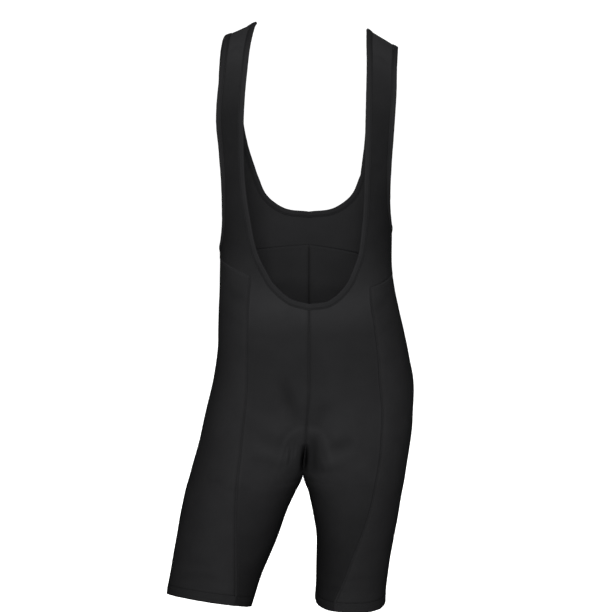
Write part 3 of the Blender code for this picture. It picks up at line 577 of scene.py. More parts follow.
    def cloth_map(self, v: Array, height: Array, from_back: bool) -> Array:
        """Where the cloth's own pattern lies: metres round the half and metres up.

        The way round is read from the girth table, between its four nearest entries. A strap that goes on
        over the shoulder keeps its way round, and goes on upwards.

        Args:
            v: How far round.
            height: The level.
            from_back: Whether it is measured from the centre back.

        Returns:
            Pairs (across, up) on the last axis.
        """
        over = (v > 1) & (height > CHEST) & (not from_back)
        v = np.where(over, 2 - v, v)
        row = np.interp(height, self.heights, np.arange(len(self.heights)))
        column = np.interp(v, self.turns, np.arange(len(self.turns)))
        r = np.minimum(row.astype(int), len(self.heights) - 2)
        c = np.minimum(column.astype(int), len(self.turns) - 2)
        a, b = row - r, column - c
        table = self.girth
        along = ((1 - a) * ((1 - b) * table[r, c] + b * table[r, c + 1])
                 + a * ((1 - b) * table[r + 1, c] + b * table[r + 1, c + 1]))
        if from_back:
            along = along - ((1 - a) * table[r, -1] + a * table[r + 1, -1])
        return together(self.side.value * along, np.where(over, 2 * SHOULDER_TOP - height, height))


HALVES = {side: Half(side) for side in Side}


@dataclass(frozen=True)
class Crease:
    """A soft trough, or a ridge where its depth is above nothing, along a path on one half.

    The path is of (out, height) pairs. The shade is painted shade, how much darker the colour is made in it,
    a painted highlight where negative, or None for what its depth gives.
    """

    side: Side
    face: Face
    path: tuple[tuple[float, float], ...]
    width: float
    depth: float
    shade: float | None = None


# Each crease also darkens the colour with painted shade in its trough and lightens it with a painted
# highlight on a ridge
CREASES = (
    # The valley between the thighs, with painted shadow, and the pad's edge that presses through the front
    Crease(R, FRONT, ((0.0, -0.630), (0.0, -0.646), (0.0, -0.664), (0.0, -0.682)),
           0.0064, -0.0028, 0.92),
    Crease(L, FRONT, ((0.010, -0.612), (0.014, -0.635), (0.016, -0.660), (0.016, -0.684)),
           0.0100, -0.0008, 0.42),
    Crease(L, FRONT, ((0.022, -0.650), (0.026, -0.665), (0.030, -0.680)), 0.0040, -0.0007, 0.16),
    Crease(R, FRONT, ((0.0, -0.6028), (0.016, -0.6075), (0.0278, -0.6185), (0.034, -0.6374),
                      (0.038, -0.655), (0.041, -0.672)), 0.0032, 0.0011),
    Crease(L, FRONT, ((0.0, -0.6028), (0.0200, -0.6075), (0.0300, -0.6210), (0.0370, -0.6400),
                      (0.0425, -0.6560), (0.045, -0.672)), 0.0032, 0.0011),
    Crease(R, FRONT, ((0.0, -0.5985), (0.018, -0.6030), (0.033, -0.6150), (0.040, -0.6350)),
           0.0050, -0.0010),
    Crease(L, FRONT, ((0.0, -0.5985), (0.022, -0.6030), (0.036, -0.6180), (0.043, -0.6380)),
           0.0050, -0.0010),
    # Puckers where the pad's stitching holds the front: painted highlights on ridges, painted shade between
    Crease(R, FRONT, ((0.0250, -0.630), (0.0265, -0.645), (0.0270, -0.662)), 0.0022, 0.0017, -0.14),
    Crease(R, FRONT, ((0.0190, -0.628), (0.0205, -0.644), (0.0215, -0.660)), 0.0022, 0.0014, -0.10),
    Crease(R, FRONT, ((0.0130, -0.632), (0.0140, -0.646), (0.0150, -0.658)), 0.0020, 0.0009),
    Crease(R, FRONT, ((0.0220, -0.636), (0.0235, -0.650), (0.0240, -0.664)), 0.0024, -0.0016, 0.22),
    Crease(L, FRONT, ((0.0150, -0.640), (0.0190, -0.652), (0.0215, -0.668)), 0.0026, 0.0009),
    Crease(L, FRONT, ((0.0250, -0.634), (0.0300, -0.648), (0.0320, -0.664)), 0.0026, -0.0010),
    # Groin folds, from the crotch out and up over the thighs
    Crease(R, FRONT, ((0.012, -0.600), (0.019, -0.580), (0.030, -0.556), (0.042, -0.522)),
           0.0110, -0.0026),
    Crease(R, FRONT, ((0.012, -0.640), (0.045, -0.628), (0.080, -0.607), (0.112, -0.580)),
           0.0120, -0.0012),
    Crease(R, FRONT, ((0.030, -0.668), (0.055, -0.660), (0.086, -0.648)), 0.0080, -0.0010),
    Crease(R, FRONT, ((0.024, -0.655), (0.052, -0.643), (0.078, -0.628)), 0.0070, 0.0007),
    Crease(L, FRONT, ((0.008, -0.606), (0.020, -0.582), (0.030, -0.560)), 0.0130, -0.0020),
    Crease(L, FRONT, ((0.036, -0.640), (0.052, -0.632), (0.074, -0.620)), 0.0100, -0.0020),
    Crease(L, FRONT, ((0.018, -0.678), (0.040, -0.672), (0.066, -0.664)), 0.0080, -0.0014),
    Crease(L, FRONT, ((0.024, -0.662), (0.050, -0.650), (0.080, -0.640)), 0.0080, 0.0008),
    # Light drag lines on the thighs and above the hems
    Crease(R, FRONT, ((0.118, -0.694), (0.136, -0.690), (0.152, -0.692)), 0.0045, -0.0007),
    Crease(R, FRONT, ((0.092, -0.700), (0.112, -0.703), (0.126, -0.701)), 0.0045, -0.0005),
    Crease(R, FRONT, ((0.128, -0.858), (0.150, -0.852), (0.176, -0.856), (0.196, -0.866)),
           0.0055, -0.0010),
    Crease(R, FRONT, ((0.140, -0.838), (0.162, -0.832), (0.184, -0.838)), 0.0060, -0.0008),
    Crease(R, FRONT, ((0.104, -0.868), (0.122, -0.870), (0.142, -0.866)), 0.0045, 0.0006),
    Crease(L, FRONT, ((0.034, -0.872), (0.052, -0.866), (0.074, -0.868)), 0.0050, -0.0008),
    Crease(L, FRONT, ((0.066, -0.850), (0.088, -0.846), (0.112, -0.852)), 0.0060, -0.0007),
    Crease(L, FRONT, ((0.070, -0.880), (0.092, -0.876), (0.114, -0.880)), 0.0045, 0.0005),
    # Waist and belly: faint drags from the side seams
    Crease(R, FRONT, ((0.128, -0.395), (0.108, -0.405), (0.086, -0.408)), 0.0080, -0.0008),
    Crease(R, FRONT, ((0.134, -0.430), (0.116, -0.440), (0.098, -0.446)), 0.0090, -0.0007),
    Crease(L, FRONT, ((0.126, -0.402), (0.110, -0.418), (0.096, -0.428)), 0.0080, -0.0009),
    Crease(L, FRONT, ((0.136, -0.440), (0.122, -0.452), (0.110, -0.458)), 0.0080, -0.0006),
    # Straps: short pulls where they turn over the shoulders
    Crease(R, FRONT, ((0.100, -0.020), (0.112, -0.012), (0.122, -0.020)), 0.0040, -0.0006),
    Crease(R, FRONT, ((0.106, -0.165), (0.118, -0.170), (0.130, -0.164)), 0.0050, -0.0005),
    Crease(L, FRONT, ((0.096, -0.030), (0.108, -0.024), (0.122, -0.032)), 0.0040, -0.0006),
    Crease(L, FRONT, ((0.094, -0.205), (0.104, -0.200), (0.114, -0.206)), 0.0050, -0.0005),
    # Back: under the seat, on the legs and at the waist
    Crease(R, BACK, ((0.030, -0.688), (0.060, -0.676), (0.096, -0.672), (0.128, -0.680)),
           0.0100, -0.0026),
    Crease(R, BACK, ((0.040, -0.706), (0.074, -0.696), (0.108, -0.694)), 0.0070, -0.0014),
    Crease(R, BACK, ((0.060, -0.745), (0.092, -0.735), (0.128, -0.742)), 0.0070, -0.0009),
    Crease(R, BACK, ((0.110, -0.852), (0.140, -0.846), (0.172, -0.852)), 0.0060, -0.0010),
    Crease(R, BACK, ((0.020, -0.400), (0.052, -0.408), (0.086, -0.402)), 0.0090, -0.0011),
    Crease(R, BACK, ((0.030, -0.430), (0.060, -0.440), (0.090, -0.436)), 0.0100, -0.0008),
    Crease(L, BACK, ((0.028, -0.684), (0.058, -0.670), (0.092, -0.668), (0.124, -0.678)),
           0.0100, -0.0026),
    Crease(L, BACK, ((0.036, -0.704), (0.066, -0.694), (0.100, -0.698)), 0.0070, -0.0013),
    Crease(L, BACK, ((0.050, -0.752), (0.080, -0.742), (0.112, -0.748)), 0.0070, -0.0009),
    Crease(L, BACK, ((0.046, -0.862), (0.074, -0.856), (0.104, -0.862)), 0.0060, -0.0010),
    Crease(L, BACK, ((0.016, -0.408), (0.048, -0.416), (0.080, -0.410)), 0.0090, -0.0010),
    Crease(L, BACK, ((0.040, -0.446), (0.070, -0.452), (0.096, -0.446)), 0.0100, -0.0007),
    Crease(R, BACK, ((0.090, -0.300), (0.110, -0.312), (0.126, -0.330)), 0.0080, -0.0010),
    Crease(L, BACK, ((0.088, -0.286), (0.106, -0.300), (0.120, -0.320)), 0.0080, -0.0010),
)


@dataclass(frozen=True)
class Wave:
    """One of the slow waves that keep stretched cloth from lying perfectly even. A hem's go round the leg."""

    length: float
    height: float
    start: float
    way: tuple[float, float, float] = (0.0, 0.0, 0.0)

    def at(self, run: Array) -> Array:
        """Its height at distances along its way: a sine."""
        return self.height * np.sin(run * 2 * math.pi / self.length + self.start)


WAVES = (
    Wave(0.091, 0.00022, 0.0, (0.3, 0.5, 1.0)), Wave(0.067, 0.00018, 1.1, (1.0, -0.4, 0.6)),
    Wave(0.053, 0.00014, 2.3, (-0.7, 0.8, 0.9)), Wave(0.041, 0.00010, 0.7, (0.2, 1.0, -0.5)),
    Wave(0.033, 0.00007, 3.9, (0.9, 0.3, -1.2)),
)


@dataclass(frozen=True)
class Sunk:
    """The trough that a seam sinks into, with its painted shade, and the raised lap beside it where it has
    one.
    """

    lines: tuple[str, ...]
    width: float = 0.0024
    depth: float = -0.00035
    shade: float = 0.11
    lap: float = 0.0


# Seam troughs are darkened with painted shade; the front waist's negative shade is a painted highlight
SUNK_SEAMS = (
    Sunk(("front seam, leg", "front seam, trunk"), lap=0.0034),
    Sunk(("back seam, leg", "back seam, trunk"), lap=0.0034),
    Sunk(("centre front",), width=0.0030, depth=-0.00005, shade=0.13),
    Sunk(("centre back",), width=0.0030, depth=-0.00005, shade=0.13),
    Sunk(("front waist",), width=0.0020, depth=-0.00010, shade=-0.20),
    Sunk(("side waist", "seat waist")),
)


@dataclass(frozen=True)
class Mark:
    """A path on the cloth with the height and the painted shade that it gives the cloth beside it."""

    path: Array
    width: float
    depth: float
    shade: float
    sharp: float


@dataclass
class Relief:
    """The cloth's creases, seam troughs and slow waves as a height over the smooth surface, and the marks'
    painted shade.
    """

    # Painted shade grows with a crease's depth, up to the most; the seam lap's negative shade is a painted
    # highlight
    shade_for_depth: float = 90.0
    most_shade: float = 0.30
    crease_sharp: float = 1.0
    seam_sharp: float = 12.0
    lap_width: float = 0.0016
    lap_height: float = 0.00040
    lap_shade: float = -0.10
    crease_steps: int = 16
    seam_points: int = 40
    widths_reached: float = 3.0
    marks: list[Mark] = field(default_factory=list)

    def __post_init__(self) -> None:
        """Traces each crease and each seam as a path of points on its half."""
        for crease in CREASES:
            half = HALVES[crease.side]
            run = self.crease_run(half, crease)
            by_depth = np.clip(self.shade_for_depth * -crease.depth, -self.most_shade, self.most_shade)
            path = half.surface(run[:, 0], run[:, 1])
            self.marks.append(Mark(path, crease.width, crease.depth, crease.shade or float(by_depth),
                                   self.crease_sharp))
        for half in HALVES.values():
            for seam in SUNK_SEAMS:
                self.mark_seam(half, seam)

    def crease_run(self, half: Half, crease: Crease) -> Array:
        """Places along a crease: cut by its length where its heights rise or fall all the way.

        Args:
            half: The half it lies on.
            crease: The crease.

        Returns:
            Rows of (v, height).
        """
        out, height = np.array(crease.path).T
        if np.all(np.diff(height) >= 0) or np.all(np.diff(height) <= 0):
            return half.line(knots(*crease.path), self.crease_steps, crease.face)
        at = np.arange(len(height))
        share = np.linspace(0, at[-1], self.crease_steps + 1)
        out, height = blend(at, out, share), blend(at, height, share)
        return together(half.v_at(out, height, crease.face), height)

    def mark_seam(self, half: Half, seam: Sunk) -> None:
        """Adds a seam's trough, and its lap on the side away from the centre front or centre back.

        Args:
            half: The half it lies on.
            seam: The seam.
        """
        run = join(*(half.lines[name] for name in seam.lines))
        run = run[np.linspace(0, len(run) - 1, min(len(run), self.seam_points)).astype(int)]
        path = half.surface(run[:, 0], run[:, 1])
        self.marks.append(Mark(path, seam.width, seam.depth, seam.shade, self.seam_sharp))
        if seam.lap:
            forward = unit(np.gradient(path, axis=0))
            outer = unit(np.cross(half.outward(run[:, 0], run[:, 1]), forward)) * half.side.value
            way = 1.0 if seam.lines[0].startswith("front") else -1.0
            self.marks.append(Mark(path + way * seam.lap * outer, self.lap_width, self.lap_height,
                                   self.lap_shade, self.seam_sharp))

    def lift(self, points: Array) -> Array:
        """The height of the relief at points of the smooth surface.

        A mark's height falls as a bell curve of the distance from its path, and fades to nothing at both
        ends as the root of a sine. The waves' heights are added.

        Args:
            points: Points on the surface, x, y and z on the last axis.

        Returns:
            Metres along the outward normal.
        """
        flat = points.reshape(-1, 3)
        total = np.zeros(len(flat))
        for wave in WAVES:
            total += wave.at(flat @ (np.array(wave.way) / np.linalg.norm(wave.way)))
        for mark in self.marks:
            near = self.near(flat, mark)
            if near.any():
                total[near] += mark.depth * self.bell(flat[near], mark)
        return total.reshape(points.shape[:-1])

    def tone(self, points: Array) -> Array:
        """Painted light and shade at points of the smooth surface: darker in troughs, lighter on ridges.

        Args:
            points: Points on the surface, x, y and z on the last axis.

        Returns:
            The share for each, 1 being even.
        """
        flat = points.reshape(-1, 3)
        share = np.ones(len(flat))
        for mark in self.marks:
            near = self.near(flat, mark)
            if near.any():
                share[near] *= 1 - mark.shade * self.bell(flat[near], mark)
        return share.reshape(points.shape[:-1])

    def near(self, points: Array, mark: Mark) -> Array:
        """Which points a mark can reach."""
        reach = self.widths_reached * mark.width
        return np.all((points > mark.path.min(0) - reach) & (points < mark.path.max(0) + reach), axis=1)

    @staticmethod
    def bell(points: Array, mark: Mark) -> Array:
        """A bell curve of the distance from a mark's path, faded to nothing at its ends.

        Args:
            points: Rows of points.
            mark: The mark.

        Returns:
            A share from 0 to 1 for each point.
        """
        path, width = mark.path, mark.width
        start, along = path[:-1], np.diff(path, axis=0)
        t = np.einsum("psk,sk->ps", points[:, None] - start[None], along) / np.sum(along ** 2, axis=1)
        t = np.clip(t, 0, 1)
        gap = np.linalg.norm(points[:, None] - start[None] - t[..., None] * along[None], axis=-1)
        nearest = gap.argmin(axis=1)
        rows = np.arange(len(points))
        share = (nearest + t[rows, nearest]) / len(along)
        fade = np.clip(mark.sharp * np.sin(np.clip(share, 0, 1) * math.pi), 0, 1)
        return np.exp(-(gap[rows, nearest] / width) ** 2) * np.sqrt(fade)


RELIEF = Relief()


def place(half: Half, v: Array, height: Array, gap: float = SEAM_GAP / 2) -> tuple[Array, Array]:
    """Points of the cloth with its relief, and their outward normals.

    Args:
        half: The half they lie on.
        v: How far round.
        height: The level.
        gap: How far the half stands off the centre.

    Returns:
        Points and unit normals.
    """
    smooth, normal = half.surface(v, height, gap), half.outward(v, height)
    return smooth + RELIEF.lift(smooth)[..., None] * normal, normal


class Value:
    """A number in a material's node tree. Sums and products with it add Math nodes."""

    def __init__(self, recipe: "Recipe", socket: Any) -> None:
        """Wraps a socket of a recipe's tree."""
        self.recipe, self.socket = recipe, socket

    def maths(self, operation: str, *others: Any) -> "Value":
        """The result of a Math node on this value and others."""
        made = self.recipe.node("ShaderNodeMath", {"operation": operation}, dict(enumerate((self, *others))))
        return Value(self.recipe, made.outputs[0])

    def __add__(self, other: Any) -> "Value":
        """This value plus another."""
        return self.maths("ADD", other)

    __radd__ = __add__

    def __mul__(self, other: Any) -> "Value":
        """This value times another."""
        return self.maths("MULTIPLY", other)

    __rmul__ = __mul__

    def __sub__(self, other: Any) -> "Value":
        """This value less another."""
        return self.maths("SUBTRACT", other)

    def __rsub__(self, other: Any) -> "Value":
        """Another value less this one."""
        return self * -1 + other

    def __truediv__(self, other: Any) -> "Value":
        """This value over another."""
        return self.maths("DIVIDE", other)

    def __abs__(self) -> "Value":
        """This value without its sign."""
        return self.maths("ABSOLUTE")

    def part(self) -> "Value":
        """What this value has past its last whole number."""
        return self.maths("FRACT")

    def wave(self) -> "Value":
        """The sine of this value, in radians."""
        return self.maths("SINE")

    def power(self, other: Any) -> "Value":
        """This value to a power."""
        return self.maths("POWER", other)


class Recipe:
    """A material and its node tree, with one method that makes every node."""

    def __init__(self, name: str) -> None:
        """Starts an empty material with its Principled shader."""
        self.material = bpy.data.materials.new(name)
        self.material.use_nodes = True
        self.tree = self.material.node_tree
        self.shader = self.tree.nodes["Principled BSDF"]

    def node(self, kind: str, settings: dict[str, Any], inputs: dict[Any, Any]) -> Any:
        """A node with its settings made first and then its inputs linked or filled.

        Args:
            kind: The node's type.
            settings: Its properties.
            inputs: A value, a Value or a socket for each input name or number.

        Returns:
            The node.
        """
        made = self.tree.nodes.new(kind)
        for name, setting in settings.items():
            setattr(made, name, setting)
        self.fill(made, inputs)
        return made

    def fill(self, made: Any, inputs: dict[Any, Any]) -> None:
        """Links or fills a node's inputs.

        Args:
            made: The node.
            inputs: A value, a Value or a socket for each input name or number.
        """
        for name, given in inputs.items():
            if isinstance(given, Value):
                self.tree.links.new(given.socket, made.inputs[name])
            elif isinstance(given, bpy.types.NodeSocket):
                self.tree.links.new(given, made.inputs[name])
            else:
                made.inputs[name].default_value = given

    def cloth_place(self) -> tuple[Value, Value]:
        """The piece's own cloth map.

        Returns:
            Metres across and metres up.
        """
        chart = self.node("ShaderNodeUVMap", {"uv_map": CLOTH_MAP}, {})
        split = self.node("ShaderNodeSeparateXYZ", {}, {0: chart.outputs[0]})
        return Value(self, split.outputs[0]), Value(self, split.outputs[1])

    def noise(self, scale: float, detail: float) -> Value:
        """A cloud pattern on Object coordinates.

        Args:
            scale: Its clouds to a metre.
            detail: How many finer layers it has.

        Returns:
            A value from 0 to 1.
        """
        where = self.node("ShaderNodeTexCoord", {}, {})
        made = self.node("ShaderNodeTexNoise", {}, {"Vector": where.outputs["Object"], "Scale": scale,
                                                    "Detail": detail, "Roughness": NOISE_ROUGHNESS})
        return Value(self, made.outputs[0])

    def mixed(self, share: Value, low: tuple[float, ...], high: tuple[float, ...]) -> Any:
        """A colour between two others."""
        made = self.node("ShaderNodeMix", {"data_type": "RGBA"}, {0: share, 6: (*low, 1.0), 7: (*high, 1.0)})
        return made.outputs[2]

    def with_painted_shading(self, colour: Any) -> Any:
        """A colour times the piece's painted light and shade.

        Args:
            colour: The colour's socket.

        Returns:
            The product's socket.
        """
        tone = self.node("ShaderNodeAttribute", {"attribute_type": "GEOMETRY", "attribute_name": PAINTED_SHADING}, {})
        made = self.node("ShaderNodeVectorMath", {"operation": "SCALE"},
                         {0: colour, "Scale": tone.outputs["Fac"]})
        return made.outputs[0]


@dataclass(frozen=True)
class KnitFinish:
    """A dyed stretch knit: fine upright ribs crossed by rows of stitches, slightly uneven."""

    name: str
    low: tuple[float, float, float]
    high: tuple[float, float, float]
    roughness: float
    wale: float = 0.00110
    course: float = 0.00080
    depth: float = 0.00010
    sheen: float = 0.0
    sheen_roughness: float = 0.45
    sheen_tint: tuple[float, float, float] = (0.5, 0.5, 0.52)
    specular: float = 0.0
    bow_power: float = 0.6
    row_height: float = 0.6
    fleck_height: float = 0.35
    bump_strength: float = 0.55
    cloud_shade: float = 0.7
    fleck_shade: float = 0.25
    row_shade: float = 0.12
    gloss_spread: float = 0.10
    cloud_noise: tuple[float, float] = (26.0, 3.0)
    fleck_noise: tuple[float, float] = (900.0, 2.0)

    def make(self) -> bpy.types.Material:
        """The material. A stitch's height is a bow across its rib times a wave down it, whose rows slant up
        to the rib's middle, as a knit's V does.

        Returns:
            The finished material.
        """
        recipe = Recipe(self.name)
        across, up = recipe.cloth_place()
        rib = (across / self.wale).part()
        slant = abs(rib - 0.5)
        bow = (rib * math.pi).wave().power(self.bow_power)
        row = ((up / self.course + slant) * (2 * math.pi)).wave() * 0.5 + 0.5
        cloud, fleck = recipe.noise(*self.cloud_noise), recipe.noise(*self.fleck_noise)
        height = bow * (row * self.row_height + (1 - self.row_height)) + fleck * self.fleck_height
        bump = recipe.node("ShaderNodeBump", {}, {"Strength": self.bump_strength, "Distance": self.depth,
                                                  "Height": height})
        shade = cloud * self.cloud_shade + fleck * self.fleck_shade + row * bow * self.row_shade
        # The base colour is scaled by the piece's painted light and shade
        recipe.fill(recipe.shader, {
            "Base Color": recipe.with_painted_shading(recipe.mixed(shade, self.low, self.high)),
            "Roughness": cloud * self.gloss_spread + (self.roughness - self.gloss_spread / 2),
            "Normal": bump.outputs[0],
            "Metallic": 0.0,
            "Specular IOR Level": self.specular,
            "Sheen Weight": self.sheen,
            "Sheen Roughness": self.sheen_roughness,
            "Sheen Tint": (*self.sheen_tint, 1.0),
        })
        return recipe.material


@dataclass(frozen=True)
class ThreadFinish:
    """Twisted polyester sewing thread."""

    name: str
    colour: tuple[float, float, float]
    roughness: float = 0.62
    specular: float = 0.01
    spun_noise: tuple[float, float] = (2600.0, 2.0)
    brighter: float = 1.5
    bump_strength: float = 0.5
    depth: float = 0.00005
    gloss_spread: float = 0.15

    def make(self) -> bpy.types.Material:
        """The material: a spun noise moves the colour and the surface a little.

        Returns:
            The finished material.
        """
        recipe = Recipe(self.name)
        spun = recipe.noise(*self.spun_noise)
        bright = tuple(self.brighter * part for part in self.colour)
        bump = recipe.node("ShaderNodeBump", {}, {"Strength": self.bump_strength, "Distance": self.depth,
                                                  "Height": spun})
        recipe.fill(recipe.shader, {
            "Base Color": recipe.mixed(spun, self.colour, bright),
            "Roughness": spun * self.gloss_spread + self.roughness,
            "Normal": bump.outputs[0],
            "Specular IOR Level": self.specular,
        })
        return recipe.material


FRONT_KNIT = KnitFinish("front_knit", (0.0064, 0.0064, 0.0067), (0.0101, 0.0101, 0.0105), 0.56)
SIDE_KNIT = KnitFinish("side_knit", (0.0066, 0.0066, 0.0069), (0.0105, 0.0105, 0.0109), 0.54)
HEM_KNIT = KnitFinish("hem_knit", (0.0063, 0.0063, 0.0066), (0.0099, 0.0099, 0.0103), 0.58)
SEAM_KNIT = KnitFinish("seam_knit", (0.0062, 0.0062, 0.0065), (0.0099, 0.0099, 0.0103), 0.56, wale=0.0007)
TAPE_KNIT = KnitFinish("binding_knit", (0.0056, 0.0056, 0.0059), (0.0090, 0.0090, 0.0094), 0.52, wale=0.0006,
                       course=0.0009, depth=0.00008)
PAD_KNIT = KnitFinish("pad_knit", (0.0160, 0.0160, 0.0172), (0.0280, 0.0280, 0.0298), 0.85, wale=0.0009,
                      course=0.0009, depth=0.00012, sheen=0.15, sheen_roughness=0.6, specular=0.10)
THREAD = ThreadFinish("black_thread", (0.0075, 0.0075, 0.0079))


def stood(name: str, data: Any) -> bpy.types.Object:
    """A new object in the scene.

    Args:
        name: The object's name.
        data: Its mesh, light or camera.

    Returns:
        The object.
    """
    thing = bpy.data.objects.new(name, data)
    bpy.context.scene.collection.objects.link(thing)
    return thing


class Workroom:
    """Makes each piece's object and sets it riding on the body."""

    def __init__(self) -> None:
        """Starts with no materials made."""
        self.made: dict[str, bpy.types.Material] = {}

    def material(self, finish: Any) -> bpy.types.Material:
        """A finish's material, made once.

        Args:
            finish: The finish.

        Returns:
            Its material.
        """
        if finish.name not in self.made:
            self.made[finish.name] = finish.make()
        return self.made[finish.name]

    def piece(self, name: str, points: Array, faces: Array, finish: Any, slot: Slot,
              charts: Array | None = None, tone: Array | None = None) -> bpy.types.Object:
        """A smooth-shaded object from points, faces and a cloth map.

        Args:
            name: The piece's name.
            points: Its points, x, y and z on the last axis.
            faces: Rows of point numbers.
            finish: Its finish.
            slot: The record's material slot; not used.
            charts: The cloth map's place of each point, or None for thread, which has no map.
            tone: The painted light and shade at each point, as a share of the colour, or None for even.

        Returns:
            The object, riding on the body.
        """
        mesh = bpy.data.meshes.new(name)
        points = points.reshape(-1, 3)
        count, sides = faces.shape
        mesh.vertices.add(len(points))
        mesh.vertices.foreach_set("co", np.ascontiguousarray(points, np.float32).ravel())
        mesh.loops.add(count * sides)
        mesh.loops.foreach_set("vertex_index", faces.astype(np.int32).ravel())
        mesh.polygons.add(count)
        mesh.polygons.foreach_set("loop_start", np.arange(0, count * sides, sides, dtype=np.int32))
        mesh.polygons.foreach_set("use_smooth", np.ones(count, bool))
        mesh.update(calc_edges=True)
        if charts is not None:
            layer = mesh.uv_layers.new(name=CLOTH_MAP)
            layer.data.foreach_set("uv", charts.reshape(-1, 2)[faces.ravel()].astype(np.float32).ravel())
            layer = mesh.attributes.new(PAINTED_SHADING, "FLOAT", "POINT")
            even = np.ones(len(points)) if tone is None else tone
            layer.data.foreach_set("value", even.astype(np.float32).ravel())
        mesh.validate()
        mesh.materials.append(self.material(finish))
        thing = stood(name, mesh)
        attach(thing, "root")
        LOG.info("%s: %d faces", name, count)
        return thing


ROOM = Workroom()


def grid_faces(rows: int, columns: int, round_rows: bool = False, round_columns: bool = False) -> Array:
    """Four-sided faces over a grid of points.

    Args:
        rows: Rows of points.
        columns: Points in a row.
        round_rows: Whether the last row joins the first.
        round_columns: Whether each row closes on itself.

    Returns:
        Rows of four point numbers.
    """
    index = np.arange(rows * columns).reshape(rows, columns)
    if round_rows:
        index = np.concatenate([index, index[:1]], axis=0)
    if round_columns:
        index = np.concatenate([index, index[:, :1]], axis=1)
    corners = (index[:-1, :-1], index[:-1, 1:], index[1:, 1:], index[1:, :-1])
    return np.stack(corners, axis=-1).reshape(-1, 4)


# Painted light and shade on the front panels and on the side panels: how light the colour is made at each
# height
FRONT_PAINTED_LIGHT = ((-0.90, 0.67), (-0.84, 0.70), (-0.76, 0.84), (-0.68, 1.06), (-0.60, 1.05), (-0.52, 0.82),
               (-0.46, 0.85), (-0.41, 1.20), (-0.37, 0.98), (-0.32, 0.78), (-0.25, 0.70), (-0.12, 0.63),
               (-0.06, 0.92), (-0.01, 1.38), (0.05, 1.45))
SIDE_PAINTED_LIGHT = ((-0.90, 1.00), (-0.80, 1.04), (-0.72, 1.10), (-0.60, 1.08), (-0.50, 0.94), (-0.35, 1.00))
# Painted shade, darker at the sides at each height and inside the legs, and how far it spreads in v
SIDE_PAINTED_SHADE = ((-0.80, 0.48), (-0.70, 0.42), (-0.55, 0.36), (-0.40, 0.26))
SIDE_SPREAD = 0.44
INSIDE_PAINTED_SHADE, INSIDE_SPREAD, INSIDE_FADE = 0.38, 0.30, 0.012


@dataclass
class Panel:
    """A cut piece of cloth: patches of one or both halves, joined into one wall.

    The node is the frame's solid it replaces; the height table pairs heights with painted light and shade.
    """

    name: str
    node: str
    patches: list[tuple[Half, Array]]
    finish: KnitFinish
    from_back: bool = False
    gap: float = SEAM_GAP / 2
    tones: tuple[tuple[float, float], ...] = ((-1.0, 1.0), (1.0, 1.0))

    def sheet(self) -> tuple[Array, Array, Array, Array, Array]:
        """The outer face, with each patch's edge joined to the next.

        Returns:
            Points, normals, cloth map, painted light and shade, and faces.
        """
        points, normals, charts, shades, faces, edge, count = [], [], [], [], [], [], 0
        for half, grid in self.patches:
            v, height = grid[..., 0], grid[..., 1]
            solid, normal = place(half, v, height, self.gap)
            quads = grid_faces(*grid.shape[:2]) + count
            faces.append(quads if half.side is L else quads[:, ::-1])
            rim = np.ones(grid.shape[:2], bool)
            rim[1:-1, 1:-1] = False
            edge.append(rim.ravel())
            points.append(solid.reshape(-1, 3))
            normals.append(normal.reshape(-1, 3))
            charts.append(half.cloth_map(v, height, self.from_back).reshape(-1, 2))
            # Painted light and shade: the height table times the painted shade round the body and along the
            # marks
            level = np.interp(height, *zip(*self.tones)) * self.painted_round_shade(v, height)
            shades.append((level * RELIEF.tone(half.surface(v, height, self.gap))).ravel())
            count += v.size
        points, normals, charts = np.concatenate(points), np.concatenate(normals), np.concatenate(charts)
        rim = np.flatnonzero(np.concatenate(edge))
        near = np.linalg.norm(points[rim][:, None] - points[rim][None], axis=-1) < SAME
        known = np.arange(count)
        known[rim] = rim[near.argmax(axis=1)]
        kept, number = np.unique(known, return_inverse=True)
        quads = number[np.concatenate(faces)]
        return points[kept], normals[kept], charts[kept], np.concatenate(shades)[kept], quads

    @staticmethod
    def painted_round_shade(v: Array, height: Array) -> Array:
        """Painted shade round the body: the colour is made darker at the sides and inside the legs.

        Args:
            v: How far round.
            height: The level.

        Returns:
            A share for each place, 1 being even.
        """
        low = np.clip((CROTCH + INSIDE_FADE - height) / (2 * INSIDE_FADE), 0, 1)
        sides = 1 - np.interp(height, *zip(*SIDE_PAINTED_SHADE)) * np.exp(-((v - 1) / SIDE_SPREAD) ** 2)
        inside = 1 - INSIDE_PAINTED_SHADE * low * np.exp(-(np.minimum(v, 2 - v) / INSIDE_SPREAD) ** 2)
        return sides * inside

    def build(self) -> bpy.types.Object:
        """The panel's wall, with the frame's solid that it replaces hidden.

        Returns:
            The object.
        """
        outer, normals, charts, tone, quads = self.sheet()
        count = len(outer)
        inner = outer - CLOTH * normals
        pairs = np.concatenate([quads[:, [k, (k + 1) % 4]] for k in range(4)])
        ahead = pairs[:, 0] * count + pairs[:, 1]
        back = pairs[:, 1] * count + pairs[:, 0]
        rim = pairs[~np.isin(ahead, back)]
        walls = np.stack([rim[:, 1], rim[:, 0], rim[:, 0] + count, rim[:, 1] + count], axis=-1)
        faces = np.concatenate([quads, quads[:, ::-1] + count, walls])
        thing = ROOM.piece(self.name, np.concatenate([outer, inner]), faces, self.finish, Slot.KNIT,
                           np.concatenate([charts, charts]), np.concatenate([tone, tone]))
        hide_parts(self.node)
        diagonals = np.cross(outer[quads[:, 2]] - outer[quads[:, 0]], outer[quads[:, 3]] - outer[quads[:, 1]])
        width, length = (charts.max(0) - charts.min(0)) / (STRETCH_ACROSS, STRETCH_ALONG)
        return thing


